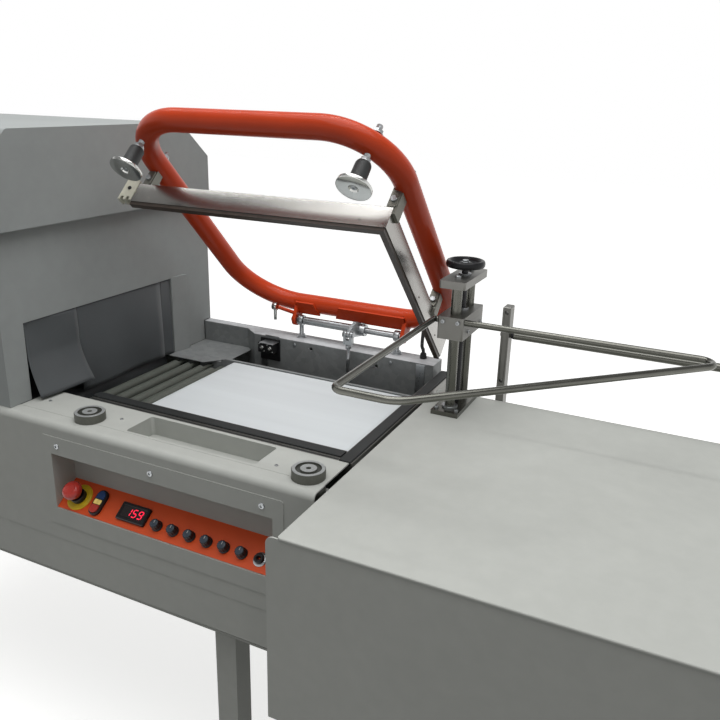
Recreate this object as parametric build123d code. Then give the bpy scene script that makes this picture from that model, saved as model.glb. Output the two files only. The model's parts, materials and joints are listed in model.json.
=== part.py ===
from build123d import *
import math
import os

# L bar sealer, combination kind: shrink tunnel, sealing station and feed table in one line.
# Sizes in mm. They are given in the machine's own frame: x = 0 at the right end of the sealing
# deck, y = 0 at the cabinet's front face, z = 0 on the deck, +X along the line, +Y to the back.

# Overall
DECK_HEIGHT = 880.0
TUNNEL_LEFT = -1440.0
TUNNEL_FACE = -740.0
CABINET_BACK = 712.0
CABINET_BOTTOM = -358.0
TABLE_LEFT = 12.0
TABLE_RIGHT = 700.0
TABLE_FRONT = -141.0
TABLE_BACK = 572.0
SHEET = 3.0

# Fits shared by the pieces that meet
RUNNING_FIT = 0.06
LOOSE_GAP = 0.4
SEAL_GAP = 0.5

# Stand
TUBE_SIDE = 50.0
TUBE_WALL = 3.0
FOOT_HEIGHT = 34.0
FOOT_RADIUS = 27.0
LEG_XS = (-1405.0, -230.0, 655.0)
LEG_YS = (70.0, 625.0)

# Control niche and panel
NICHE_LEFT = -617.0
NICHE_TOP = -69.0
NICHE_BOTTOM = -193.0
NICHE_DEPTH = 56.0
PANEL_RISE = 42.0
BEZEL_MARGIN = 23.0
BEZEL_TOP = -29.0
BEZEL_BOTTOM = -234.0
PANEL_SHEET = 2.0
ESTOP_X = -577.0
BUTTONS_X = -523.0
DISPLAY_X = -433.0
KNOB_FIRST_X = -366.0
KNOB_PITCH = 40.4
KNOB_COUNT = 6
KNOB_RADIUS = 11.0
KNOB_HEIGHT = 17.0
JACK_X = KNOB_FIRST_X + (KNOB_COUNT - 1) * KNOB_PITCH + 40.0
NICHE_RIGHT = JACK_X + 41.0
CONTROL_V = 32.0
ESTOP_TRAVEL = 5.0
BUTTON_TRAVEL = 3.0

# Sealing deck, pads and magnets
RAIL_DEPTH = 40.0
DECK_BACK = 134.0
TROUGH_LEFT = -455.0
TROUGH_RIGHT = -150.0
TROUGH_FRONT = 46.0
TROUGH_BACK = 125.0
TROUGH_DEPTH = 40.0
CHANNEL_DEPTH = 30.0
CHANNEL_BACK = 178.0
CHANNEL_LEFT = -640.0
GROOVE_DEPTH = 6.0
PAD_TOP = 3.0
PAD_FRONT_Y = 160.0
PAD_WIDTH = 24.0
SLIT_Y = 140.0
SLIT_WIDTH = 6.0
PAD_SIDE_X = -10.0
SIDE_CHANNEL_HALF = 15.0
SIDE_CHANNEL_END = 684.0
MAGNET_XS = (-556.0, -40.0)
MAGNET_YS = (54.0, 52.0)
MAGNET_RADIUS = 31.0
MAGNET_TOP = 18.0
MAGNET_LOW = -34.0

# Belt and rollers
BELT_TOP = -28.0
BELT_THICK = 2.0
BELT_LEFT = -563.0
BELT_RIGHT = -38.0
BELT_FRONT = 190.0
BELT_BACK = 550.0
DRUM_RADIUS = 20.0
DRUM_SHAFT = 8.0
BED_RAIL = 8.0
BED_LEFT = -730.0
BED_BOTTOM = -92.0
ROLLER_XS = (-703.0, -663.0, -622.0)
ROLLER_RADIUS = 12.5
ROLLER_TOP = -36.0
ROLLER_SHAFT = 5.0
ROLLER_BACK = 508.0
THICK_ROLLER_X = -587.0
THICK_ROLLER_RADIUS = 17.0

# Rear rail
WALL_Y = 652.0
WALL_STEP_Y = 684.0
FLANGE_TOP = 24.0
WALL_BOTTOM = -100.0
RAIL_RIGHT = -32.0
DEAD_PLATE_TOP = -32.0

# Arm
PIVOT_Y = 690.0
PIVOT_Z = 71.0
OPEN_ANGLE = 45.6
ARM_RADIUS = 24.0
ARM_WALL = 3.0
ARM_LEFT = -590.0
ARM_RIGHT = 1.0
ARM_FRONT = 12.0
ARM_REAR = 680.0
ARM_Z = 119.0
ARM_BEND_FRONT = 135.0
ARM_BEND_REAR = 150.0
SHAFT_RADIUS = 8.0
SHAFT_LEFT = -452.0
SHAFT_RIGHT = -118.0
EYE_XS = (-424.0, -146.0)
EYE_WIDTH = 14.0
EYE_RADIUS = 14.0
LUG_XS = (-441.0, -129.0)
LUG_THICK = 10.0
DISC_RADIUS = 37.0
DISC_THICK = 8.0
BUSH_HEIGHT = 36.0
STUD_RADIUS = 6.0
COVER_WIDTH = 28.0
COVER_WALL = 2.0
COVER_LOW = 10.0
COVER_TOP = 44.0
STRIP_TOP = 28.0
FRONT_BAR_LEFT = -602.0
SIDE_BAR_END = 640.0

# Lift lever and gas spring
LEVER_X = -252.0
LEVER_THICK = 8.0
LEVER_PIN_Y = 626.0
LEVER_PIN_Z = 75.0
LEVER_PIN_RADIUS = 5.0
LEVER_EYE = 8.0
LEVER_HUB = 17.0
FORK_EAR = 7.0
ROD_RADIUS = 4.0
ROD_END_Z = -130.0
CYLINDER_RADIUS = 18.0
CYLINDER_BORE = 14.0
CYLINDER_TOP = -108.0

# Tunnel
TUNNEL_FRONT = 14.0
TUNNEL_TOP = 371.0
ENTRY_FRONT = 71.0
ENTRY_BACK = 548.0
ENTRY_TOP = 172.0
HOOD_FACE = -720.0
HOOD_TOP = 567.0
HOOD_CHAMFER_Y = 595.0
HOOD_CHAMFER_Z = 479.0
HOOD_FRONT_CUT = 52.0
CURTAIN = 2.5
CURTAIN_LOW = -24.0
PUSHED_LOW = 4.0
TUNNEL_BED_TOP = -36.0
TUNNEL_BED_DEPTH = 50.0
PEDESTAL_INSETS = (60.0, 94.0)

# Feed table, film inverter post and film posts
TABLE_PLATE = 4.0
EAR_LEFT = -9.0
COLUMN_X = 78.0
COLUMN_YS = (462.0, 548.0)
COLUMN_RADIUS = 11.0
SCREW_RADIUS = 7.0
POST_BASE = 10.0
BLOCK_LOW = 170.0
BLOCK_TOP = 218.0
BLOCK_HALF = 28.0
BLOCK_FRONT = 430.0
BLOCK_BACK = 565.0
PLATE_LOW = 278.0
PLATE_THICK = 16.0
WHEEL_RADIUS = 43.0
WHEEL_LOW = 306.0
LOOP_Z = 208.0
LOOP_RADIUS = 6.5
LOOP_LEFT = 40.0
LOOP_FRONT = -17.0
LOOP_CORNER_X = 150.0
LOOP_BACK = 441.0
POST_XS = (157.0, 649.0)
POST_WIDTH = 18.0
POST_DEPTH = 30.0
POST_TOP = 217.0
POST_LOW = -60.0
HOLE_RADIUS = 4.25
HOLE_ZS = (47.0, 205.0)
IDLER_Y = TABLE_BACK + POST_DEPTH / 2
IDLER_Z = 152.0
IDLER_RADIUS = 14.0
IDLER_STUB = 6.0


def block(x0, x1, y0, y1, z0, z1):
    """Square block between two corners."""
    return Pos((x0 + x1) / 2, (y0 + y1) / 2, (z0 + z1) / 2) * Box(x1 - x0, y1 - y0, z1 - z0)


def rod_x(x0, x1, y, z, radius):
    """Round bar along X."""
    return Pos((x0 + x1) / 2, y, z) * Rot(0, 90, 0) * Cylinder(radius, x1 - x0)


def rod_y(y0, y1, x, z, radius):
    """Round bar along Y."""
    return Pos(x, (y0 + y1) / 2, z) * Rot(90, 0, 0) * Cylinder(radius, y1 - y0)


def rod_z(z0, z1, x, y, radius):
    """Round bar along Z."""
    return Pos(x, y, (z0 + z1) / 2) * Cylinder(radius, z1 - z0)


def prism_x(points, x0, x1):
    """Outline in Y and Z, pulled along X."""
    face = make_face(Polyline(*points, close=True))
    return extrude(Plane((x0, 0, 0), x_dir=(0, 1, 0), z_dir=(1, 0, 0)) * face, x1 - x0)


def prism_y(points, y0, y1):
    """Outline in X and Z, pulled along Y."""
    face = make_face(Polyline(*points, close=True))
    return extrude(Plane((0, y0, 0), x_dir=(1, 0, 0), z_dir=(0, -1, 0)) * face, y0 - y1)


def prism_z(points, z0, z1):
    """Outline in X and Y, pulled along Z."""
    face = make_face(Polyline(*points, close=True))
    return extrude(Plane((0, 0, z0)) * face, z1 - z0)


def hull_x(circles, x0, x1):
    """Flat lever around several circles (y, z, radius), pulled along X."""
    edges = []
    for y, z, radius in circles:
        edges += (Pos(y, z) * Circle(radius)).edges()
    return extrude(Plane((x0, 0, 0), x_dir=(0, 1, 0), z_dir=(1, 0, 0)) * make_hull(edges), x1 - x0)


def spun(points, x, y, z):
    """Turned piece: outline of radius and height around a vertical axis."""
    face = make_face(Polyline(*points, close=True))
    profile = Plane((0, 0, 0), x_dir=(1, 0, 0), z_dir=(0, -1, 0)) * face
    return Pos(x, y, z) * revolve(profile, Axis.Z)


def raised(shape):
    """Swing a piece of the arm from the closed to the raised position."""
    return shape.rotate(Axis((0, PIVOT_Y, PIVOT_Z), (1, 0, 0)), -OPEN_ANGLE)


def square_tube(x0, x1, y0, y1, z0, z1, along):
    """Hollow square tube, open at both ends."""
    outer = block(x0, x1, y0, y1, z0, z1)
    grow = {"x": (1, -TUBE_WALL, -TUBE_WALL), "y": (-TUBE_WALL, 1, -TUBE_WALL),
            "z": (-TUBE_WALL, -TUBE_WALL, 1)}[along]
    inner = block(x0 - grow[0], x1 + grow[0], y0 - grow[1], y1 + grow[1],
                  z0 - grow[2], z1 + grow[2])
    return outer - inner


def group(*shapes):
    """Separate solids that share one node."""
    solids = []
    for shape in shapes:
        solids += shape.solids()
    return Compound(children=solids)


nodes = {}

# Stand of square tube: six legs under long and cross rails
half = TUBE_SIDE / 2
leg_low = FOOT_HEIGHT - DECK_HEIGHT
rail_top = CABINET_BOTTOM
rail_low = CABINET_BOTTOM - TUBE_SIDE
legs = []
feet = []
for leg_x in LEG_XS:
    for leg_y in LEG_YS:
        leg = square_tube(leg_x - half, leg_x + half, leg_y - half, leg_y + half, leg_low, rail_low, "z")
        end_plate = block(leg_x - half, leg_x + half, leg_y - half, leg_y + half, leg_low, leg_low + 5)
        legs.append(leg + end_plate)
        foot = rod_z(-DECK_HEIGHT, -DECK_HEIGHT + 10, leg_x, leg_y, FOOT_RADIUS)
        foot = chamfer(foot.edges().group_by(Axis.Z)[-1], 4)
        stem = rod_z(-DECK_HEIGHT + 10, leg_low, leg_x, leg_y, 8)
        nut = extrude(Plane((leg_x, leg_y, leg_low - 9)) * RegularPolygon(14, 6), 9)
        feet.append(foot + stem + nut)
nodes["levelling_feet"] = group(*feet)

rails = []
for leg_y in LEG_YS:
    rails.append(square_tube(LEG_XS[0] - half, LEG_XS[-1] + half, leg_y - half, leg_y + half,
                             rail_low, rail_top, "x"))
for leg_x in LEG_XS:
    rails.append(square_tube(leg_x - half, leg_x + half, LEG_YS[0] + half, LEG_YS[1] - half,
                             rail_low, rail_top, "y"))
for leg_x in (60.0, LEG_XS[-1]):
    rails.append(square_tube(leg_x - half, leg_x + half, TABLE_FRONT + SHEET, LEG_YS[0] - half,
                             rail_low, rail_top, "y"))
nodes["stand_frame"] = group(*legs, *rails)

# Cabinet sheets: base, back and both ends
base = block(TUNNEL_LEFT + SHEET, -SHEET, SHEET, CABINET_BACK - SHEET,
             CABINET_BOTTOM, CABINET_BOTTOM + SHEET)
back = prism_y([(TUNNEL_LEFT, CABINET_BOTTOM), (RAIL_RIGHT, CABINET_BOTTOM),
                (RAIL_RIGHT, FLANGE_TOP - SHEET), (TUNNEL_FACE, FLANGE_TOP - SHEET),
                (TUNNEL_FACE, 0), (TUNNEL_LEFT, 0)], CABINET_BACK - SHEET, CABINET_BACK)
notch_low = TUNNEL_BED_TOP - TUNNEL_BED_DEPTH - 6
left_end = prism_x([(SHEET, CABINET_BOTTOM), (CABINET_BACK - SHEET, CABINET_BOTTOM),
                    (CABINET_BACK - SHEET, 0), (ENTRY_BACK, 0), (ENTRY_BACK, notch_low),
                    (ENTRY_FRONT, notch_low), (ENTRY_FRONT, -SHEET), (SHEET, -SHEET)],
                   TUNNEL_LEFT, TUNNEL_LEFT + SHEET)
left_end -= block(TUNNEL_LEFT - 1, TUNNEL_LEFT + SHEET + 1, SHEET - 1, 18, -18, 1)
right_end = block(-SHEET, 0, SHEET, SIDE_CHANNEL_END, CABINET_BOTTOM, -CHANNEL_DEPTH)
nodes["cabinet_panels"] = group(base, back, left_end, right_end)

# Front apron with a rolled top edge and a window for the control niche; lower apron set back
roll = 14.0
seam = -272.0
setback = 1.0
apron_line = FilletPolyline((RAIL_DEPTH, -SHEET), (RAIL_DEPTH, 0), (0, 0), (0, seam), (SHEET, seam),
                            (SHEET, -SHEET), close=True, radius=[0, 0, roll, 0, 0, roll - SHEET])
apron_plane = Plane((TUNNEL_LEFT, 0, 0), x_dir=(0, 1, 0), z_dir=(1, 0, 0))
upper_apron = extrude(apron_plane * make_face(apron_line), -TUNNEL_LEFT)
niche_wall = 2.0
window = block(NICHE_LEFT - niche_wall, NICHE_RIGHT + niche_wall, -1, SHEET + 1,
               NICHE_BOTTOM - niche_wall - 3, NICHE_TOP + niche_wall)
upper_apron -= window
lower_apron = block(TUNNEL_LEFT, 0, setback, SHEET, CABINET_BOTTOM, seam)

# Control bezel with the folded niche behind it, open to the front
bezel_proud = 1.5
slope = math.atan2(PANEL_RISE, NICHE_DEPTH)
drop = (PANEL_SHEET + niche_wall) / math.cos(slope)
niche_outer = prism_x([(0, NICHE_TOP + niche_wall), (NICHE_DEPTH + niche_wall, NICHE_TOP + niche_wall),
                       (NICHE_DEPTH + niche_wall, NICHE_BOTTOM + PANEL_RISE - drop),
                       (0, NICHE_BOTTOM - drop)],
                      NICHE_LEFT - niche_wall, NICHE_RIGHT + niche_wall)
floor_drop = PANEL_SHEET / math.cos(slope)
niche_inner = prism_x([(-3, NICHE_TOP), (NICHE_DEPTH, NICHE_TOP),
                       (NICHE_DEPTH, NICHE_BOTTOM + PANEL_RISE - floor_drop),
                       (0, NICHE_BOTTOM - floor_drop), (-3, NICHE_BOTTOM - floor_drop)],
                      NICHE_LEFT, NICHE_RIGHT)
bezel = block(NICHE_LEFT - BEZEL_MARGIN, NICHE_RIGHT + BEZEL_MARGIN, -bezel_proud, 0,
              BEZEL_BOTTOM, BEZEL_TOP)
bezel = fillet(bezel.edges().filter_by(Axis.Y), 6)
nodes["control_bezel"] = (bezel + niche_outer) - niche_inner

# Sloping panel that carries the controls
panel_plane = Plane((0, 0, NICHE_BOTTOM), x_dir=(1, 0, 0),
                    z_dir=(0, -math.sin(slope), math.cos(slope)))
panel_length = math.hypot(NICHE_DEPTH, PANEL_RISE)
panel_width = NICHE_RIGHT - NICHE_LEFT
control_panel = panel_plane * Pos((NICHE_LEFT + NICHE_RIGHT) / 2, panel_length / 2, -PANEL_SHEET / 2) \
    * Box(panel_width, panel_length, PANEL_SHEET)
control_panel = control_panel & block(NICHE_LEFT, NICHE_RIGHT, 0, NICHE_DEPTH, -300, 0)
nodes["control_panel"] = control_panel


def on_panel(u, v, shape):
    """Set a control on the sloping panel, u along it and v up the slope."""
    return panel_plane * Pos(u, v, 0) * shape


# Emergency stop: ring and collar stay, the mushroom head slides in the collar
stem_radius = 9.0
ring = spun([(stem_radius + LOOSE_GAP, 0), (29, 0), (29, 1.5), (28, 2.2), (17, 2.2), (17, 9),
             (16, 10), (stem_radius + LOOSE_GAP, 10)], 0, 0, 0)
head = spun([(0, 6), (stem_radius, 6), (stem_radius, 16), (18, 16), (20, 18.5), (20, 23), (18.2, 27),
             (13, 30.2), (6, 31.6), (0, 32)], 0, 0, 0)
estop_base = on_panel(ESTOP_X, CONTROL_V, ring)
nodes["estop_head"] = on_panel(ESTOP_X, CONTROL_V, head)

# Double push button: oval bezel with two wells, a lamp bridge between them
bezel_height = 8.0
oval = extrude(SlotOverall(56, 27, rotation=90), bezel_height)
well = extrude(Pos(0, 0, 2) * SlotOverall(50, 21, rotation=90), bezel_height)
bridge = Pos(0, 0, bezel_height / 2 + 0.5) * Box(23, 13, bezel_height + 1)
button_gap = 0.5
key = extrude(Pos(0, 0, 5.5) * SlotOverall(50 - 2 * button_gap, 21 - 2 * button_gap, rotation=90), 4.5)
key = fillet(key.edges().group_by(Axis.Z)[-1], 1.2)
split = 6.5 + button_gap
upper_key = key & (Pos(0, split + 15, 8) * Box(30, 30, 20))
lower_key = key & (Pos(0, -split - 15, 8) * Box(30, 30, 20))
button_bezel = on_panel(BUTTONS_X, CONTROL_V, (oval - well) + bridge)
nodes["start_button"] = on_panel(BUTTONS_X, CONTROL_V, upper_key)
nodes["stop_button"] = on_panel(BUTTONS_X, CONTROL_V, Pos(0, 0, 1.2) * lower_key)

# Temperature display in its snap-in frame, with a sunk window
frame_body = Pos(0, 0, 4) * Box(90, 38, 8)
frame_body = chamfer(frame_body.edges().group_by(Axis.Z)[-1], 1.5)
display_frame = on_panel(DISPLAY_X, CONTROL_V, frame_body - Pos(0, 2, 7.4) * Box(70, 22, 3))

# Six timer knobs, each with skirt, grip and pointer rib
skirt = 4.0
for index in range(KNOB_COUNT):
    knob = spun([(0, LOOSE_GAP), (KNOB_RADIUS, LOOSE_GAP), (KNOB_RADIUS, skirt),
                 (KNOB_RADIUS - 2.5, skirt + 1), (KNOB_RADIUS - 3.5, KNOB_HEIGHT - 1),
                 (KNOB_RADIUS - 4.5, KNOB_HEIGHT), (0, KNOB_HEIGHT)], 0, 0, 0)
    rib = Pos(0, KNOB_RADIUS - 2.4, skirt / 2 + 1) * Box(1.6, 4, skirt + 1)
    nodes["timer_knob_%d" % (index + 1)] = on_panel(KNOB_FIRST_X + index * KNOB_PITCH, CONTROL_V - 8,
                                                   knob + rib)

# Accessory jack at the panel's right end
jack = spun([(4, 0), (14, 0), (14, 2), (10, 3), (10, 9), (8, 10), (4, 10)], 0, 0, 0)
panel_jack = on_panel(JACK_X, CONTROL_V - 8, jack)
nodes["panel_fittings"] = group(estop_base, button_bezel, display_frame, panel_jack)

# Front deck with its tool trough and two magnet seats
seat_gap = 0.05
deck = block(TUNNEL_FACE + 1, -1, RAIL_DEPTH, DECK_BACK, -SHEET, 0)
trough = block(TROUGH_LEFT - 2, TROUGH_RIGHT + 2, TROUGH_FRONT - 2, TROUGH_BACK + 2, -TROUGH_DEPTH - 2, 0)
trough = fillet(trough.edges().filter_by(Axis.Z), 8)
hollow = block(TROUGH_LEFT, TROUGH_RIGHT, TROUGH_FRONT, TROUGH_BACK, -TROUGH_DEPTH, 1)
hollow = fillet(hollow.edges().filter_by(Axis.Z), 6)
deck = (deck + trough) - hollow
magnets = []
for magnet_x, magnet_y in zip(MAGNET_XS, MAGNET_YS):
    seat = rod_z(MAGNET_LOW, MAGNET_TOP, magnet_x, magnet_y, MAGNET_RADIUS + seat_gap)
    deck -= seat
    upper_apron -= seat
    magnets.append(spun([(0, MAGNET_LOW), (MAGNET_RADIUS, MAGNET_LOW), (MAGNET_RADIUS, MAGNET_TOP - 1.5),
                         (MAGNET_RADIUS - 1.5, MAGNET_TOP), (24, MAGNET_TOP), (24, MAGNET_TOP - 3),
                         (15, MAGNET_TOP - 3), (15, MAGNET_TOP), (5, MAGNET_TOP), (4, MAGNET_TOP - 4),
                         (0, MAGNET_TOP - 4)], magnet_x, magnet_y, 0))
nodes["front_deck"] = deck
nodes["electromagnets"] = group(*magnets)
nodes["front_apron"] = group(upper_apron, lower_apron)

# Pad channels in an L, with the pads set in their grooves
side_left = PAD_SIDE_X - SIDE_CHANNEL_HALF
side_right = PAD_SIDE_X + SIDE_CHANNEL_HALF
front_channel = block(CHANNEL_LEFT, side_left, DECK_BACK, CHANNEL_BACK, -CHANNEL_DEPTH, 0)
front_channel -= block(CHANNEL_LEFT - 1, side_left + 1, PAD_FRONT_Y - PAD_WIDTH / 2,
                       PAD_FRONT_Y + PAD_WIDTH / 2, -GROOVE_DEPTH, 1)
front_channel -= block(CHANNEL_LEFT - 1, side_left + 1, SLIT_Y - SLIT_WIDTH / 2,
                       SLIT_Y + SLIT_WIDTH / 2, -GROOVE_DEPTH, 1)
front_channel -= block(CHANNEL_LEFT + 30, side_left - 30, DECK_BACK + 3, CHANNEL_BACK - 3,
                       -CHANNEL_DEPTH - 1, -GROOVE_DEPTH - 3)
side_channel = block(side_left, side_right, DECK_BACK, SIDE_CHANNEL_END, -CHANNEL_DEPTH, 0)
side_channel -= block(PAD_SIDE_X - PAD_WIDTH / 2, PAD_SIDE_X + PAD_WIDTH / 2, DECK_BACK - 1,
                      SIDE_CHANNEL_END + 1, -GROOVE_DEPTH, 1)
side_channel -= block(side_left + 3, side_right - 3, DECK_BACK + 30, SIDE_CHANNEL_END - 30,
                      -CHANNEL_DEPTH - 1, -GROOVE_DEPTH - 3)
nodes["pad_channels"] = group(front_channel, side_channel)
front_pad = block(CHANNEL_LEFT, side_left, PAD_FRONT_Y - PAD_WIDTH / 2, PAD_FRONT_Y + PAD_WIDTH / 2,
                  -GROOVE_DEPTH, PAD_TOP)
front_pad = fillet(front_pad.edges().filter_by(Axis.X).group_by(Axis.Z)[-1], 1.5)
slit_strip = block(CHANNEL_LEFT, side_left, SLIT_Y - SLIT_WIDTH / 2, SLIT_Y + SLIT_WIDTH / 2,
                   -GROOVE_DEPTH, -1)
side_pad = block(PAD_SIDE_X - PAD_WIDTH / 2, PAD_SIDE_X + PAD_WIDTH / 2, DECK_BACK, SIDE_CHANNEL_END,
                 -GROOVE_DEPTH, PAD_TOP)
side_pad = fillet(side_pad.edges().filter_by(Axis.Y).group_by(Axis.Z)[-1], 1.5)
nodes["seal_pads"] = group(front_pad, slit_strip, side_pad)

# Belt bed: two side rails joined by the slider plate, with bearing holes for all shafts
belt_radius = DRUM_RADIUS + BELT_THICK
drum_z = BELT_TOP - belt_radius
drum_xs = (BELT_LEFT + belt_radius, BELT_RIGHT - belt_radius)
roller_z = ROLLER_TOP - ROLLER_RADIUS
thick_z = ROLLER_TOP - THICK_ROLLER_RADIUS
rail_front_in = CHANNEL_BACK + BED_RAIL
rail_back_in = BELT_BACK + 2
rail_back_out = rail_back_in + BED_RAIL
bed_right = BELT_RIGHT + 4
bed_front_rail = block(BED_LEFT, bed_right, CHANNEL_BACK, rail_front_in, BED_BOTTOM, BELT_TOP - 2)
bed_back_rail = prism_y([(BED_LEFT, BED_BOTTOM), (bed_right, BED_BOTTOM), (bed_right, BELT_TOP + 3),
                         (BELT_LEFT - 14, BELT_TOP + 3), (BELT_LEFT - 30, DEAD_PLATE_TOP - 3),
                         (BED_LEFT, DEAD_PLATE_TOP - 3)], rail_back_in, rail_back_out)
slider_top = BELT_TOP - BELT_THICK - LOOSE_GAP
slider = block(drum_xs[0] + DRUM_RADIUS + 6, drum_xs[1] - DRUM_RADIUS - 6, rail_front_in, rail_back_in,
               slider_top - 4, slider_top)
ties = block(-400, -370, rail_front_in, rail_back_in, BED_BOTTOM, BED_BOTTOM + 8)
ties += block(BED_LEFT, BED_LEFT + 8, rail_front_in, rail_back_in, BED_BOTTOM, BED_BOTTOM + 10)
bed = bed_front_rail + bed_back_rail + slider + ties
for drum_x in drum_xs:
    bed -= rod_y(CHANNEL_BACK - 1, rail_back_out + 1, drum_x, drum_z, DRUM_SHAFT + RUNNING_FIT)
for roller_x in ROLLER_XS:
    bed -= rod_y(CHANNEL_BACK - 1, rail_back_out + 1, roller_x, roller_z, ROLLER_SHAFT + RUNNING_FIT)
bed -= rod_y(CHANNEL_BACK - 1, rail_back_out + 1, THICK_ROLLER_X, thick_z, DRUM_SHAFT + RUNNING_FIT)
nodes["belt_bed"] = bed

belt_loop = extrude(Plane((0, BELT_FRONT, 0), x_dir=(1, 0, 0), z_dir=(0, -1, 0))
                    * Pos(sum(drum_xs) / 2, drum_z)
                    * SlotCenterToCenter(drum_xs[1] - drum_xs[0], 2 * belt_radius), BELT_FRONT - BELT_BACK)
belt_hole = extrude(Plane((0, BELT_FRONT, 0), x_dir=(1, 0, 0), z_dir=(0, -1, 0))
                    * Pos(sum(drum_xs) / 2, drum_z)
                    * SlotCenterToCenter(drum_xs[1] - drum_xs[0], 2 * (DRUM_RADIUS + LOOSE_GAP)),
                    BELT_FRONT - BELT_BACK)
nodes["conveyor_belt"] = belt_loop - belt_hole

shaft_ends = (CHANNEL_BACK + 1, rail_back_out + 3)


def roller(x, z, radius, shaft, y0, y1):
    """Roller with a stub shaft at each end."""
    body = rod_y(y0, y1, x, z, radius)
    body = chamfer(body.edges().filter_by(GeomType.CIRCLE), 1)
    return body + rod_y(shaft_ends[0], shaft_ends[1], x, z, shaft)


nodes["belt_drum_left"] = roller(drum_xs[0], drum_z, DRUM_RADIUS, DRUM_SHAFT, BELT_FRONT + 1, BELT_BACK - 1)
nodes["belt_drum_right"] = roller(drum_xs[1], drum_z, DRUM_RADIUS, DRUM_SHAFT, BELT_FRONT + 1, BELT_BACK - 1)
for index, roller_x in enumerate(ROLLER_XS):
    nodes["transfer_roller_%d" % (index + 1)] = roller(roller_x, roller_z, ROLLER_RADIUS, ROLLER_SHAFT,
                                                       BELT_FRONT, ROLLER_BACK)
nodes["thick_roller"] = roller(THICK_ROLLER_X, thick_z, THICK_ROLLER_RADIUS, DRUM_SHAFT,
                               BELT_FRONT, ROLLER_BACK)

# Rear rail: folded wall and top flange, stepped back beside the tunnel
step_x = -592.0
step_end = -550.0
flange = prism_z([(TUNNEL_FACE + 1, WALL_STEP_Y), (step_x, WALL_STEP_Y), (step_end, WALL_Y),
                  (RAIL_RIGHT, WALL_Y), (RAIL_RIGHT, CABINET_BACK), (TUNNEL_FACE + 1, CABINET_BACK)],
                 FLANGE_TOP - SHEET, FLANGE_TOP)
wall = prism_z([(TUNNEL_FACE + 1, WALL_STEP_Y), (step_x, WALL_STEP_Y), (step_end, WALL_Y),
                (RAIL_RIGHT, WALL_Y), (RAIL_RIGHT, WALL_Y + SHEET), (step_end + 1.2, WALL_Y + SHEET),
                (step_x + 1.2, WALL_STEP_Y + SHEET), (TUNNEL_FACE + 1, WALL_STEP_Y + SHEET)],
               WALL_BOTTOM, FLANGE_TOP - SHEET)
end_return = block(RAIL_RIGHT - SHEET, RAIL_RIGHT, WALL_Y, CABINET_BACK - SHEET,
                   WALL_BOTTOM, FLANGE_TOP - SHEET)
rear_rail = flange + wall + end_return
post_hole = 6.0 + seat_gap
for eye_x in EYE_XS:
    rear_rail -= rod_z(FLANGE_TOP - 10, FLANGE_TOP + 5, eye_x, PIVOT_Y, post_hole)
for hole_x, hole_z in ((-374.0, 8.0), (-185.0, -5.0)):
    rear_rail -= rod_y(WALL_Y - 5, WALL_Y + 10, hole_x, hole_z, 4)
nodes["rear_rail"] = rear_rail

# Dead plate between the rollers and the rear wall
dead = prism_z([(TUNNEL_FACE + 1, ROLLER_BACK + 14), (TUNNEL_FACE + 1, WALL_STEP_Y), (step_x, WALL_STEP_Y),
                (step_end - 24, WALL_Y + 18), (step_end - 24, BELT_BACK + 14), (step_x, BELT_BACK + 14),
                (ROLLER_XS[-1] - 4, ROLLER_BACK + 14)],
               DEAD_PLATE_TOP - 2, DEAD_PLATE_TOP)
nodes["dead_plate"] = dead

# Limit switch box on a bent bracket in front of the rear wall
box_x = -498.0
switch_low = -16.0
switch_top = 12.0
twin = block(box_x - 24, box_x - 1, WALL_Y - 26, WALL_Y - 4, switch_low, switch_top)
twin += block(box_x + 1, box_x + 24, WALL_Y - 26, WALL_Y - 4, switch_low, switch_top)
twin += block(box_x - 22, box_x + 22, WALL_Y - 24, WALL_Y - 4, switch_low + 2, switch_top - 2)
bracket = block(box_x - 30, box_x + 30, WALL_Y - 4, WALL_Y, switch_low - 26, switch_top + 6)
nodes["limit_switch_box"] = group(twin, bracket)

# Eye posts that carry the arm's pivot shaft
posts = []
for eye_x in EYE_XS:
    ring_body = rod_x(eye_x - EYE_WIDTH / 2, eye_x + EYE_WIDTH / 2, PIVOT_Y, PIVOT_Z, EYE_RADIUS)
    shank = rod_z(FLANGE_TOP - 40, PIVOT_Z - EYE_RADIUS + 3, eye_x, PIVOT_Y, 6)
    nut_up = extrude(Plane((eye_x, PIVOT_Y, FLANGE_TOP)) * RegularPolygon(11, 6), 8)
    nut_down = extrude(Plane((eye_x, PIVOT_Y, FLANGE_TOP - SHEET - 8)) * RegularPolygon(11, 6), 8)
    bore = rod_x(eye_x - EYE_WIDTH, eye_x + EYE_WIDTH, PIVOT_Y, PIVOT_Z, SHAFT_RADIUS + RUNNING_FIT)
    posts.append((ring_body + shank + nut_up + nut_down) - bore)
nodes["eye_posts"] = group(*posts)

# Gas spring cylinder on the base sheet, open at the top for the lift rod
cylinder = rod_z(CABINET_BOTTOM + SHEET, CYLINDER_TOP, LEVER_X, LEVER_PIN_Y, CYLINDER_RADIUS)
cylinder -= rod_z(CABINET_BOTTOM + 60, CYLINDER_TOP + 1, LEVER_X, LEVER_PIN_Y, CYLINDER_BORE)
nodes["gas_spring_cylinder"] = cylinder

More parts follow.
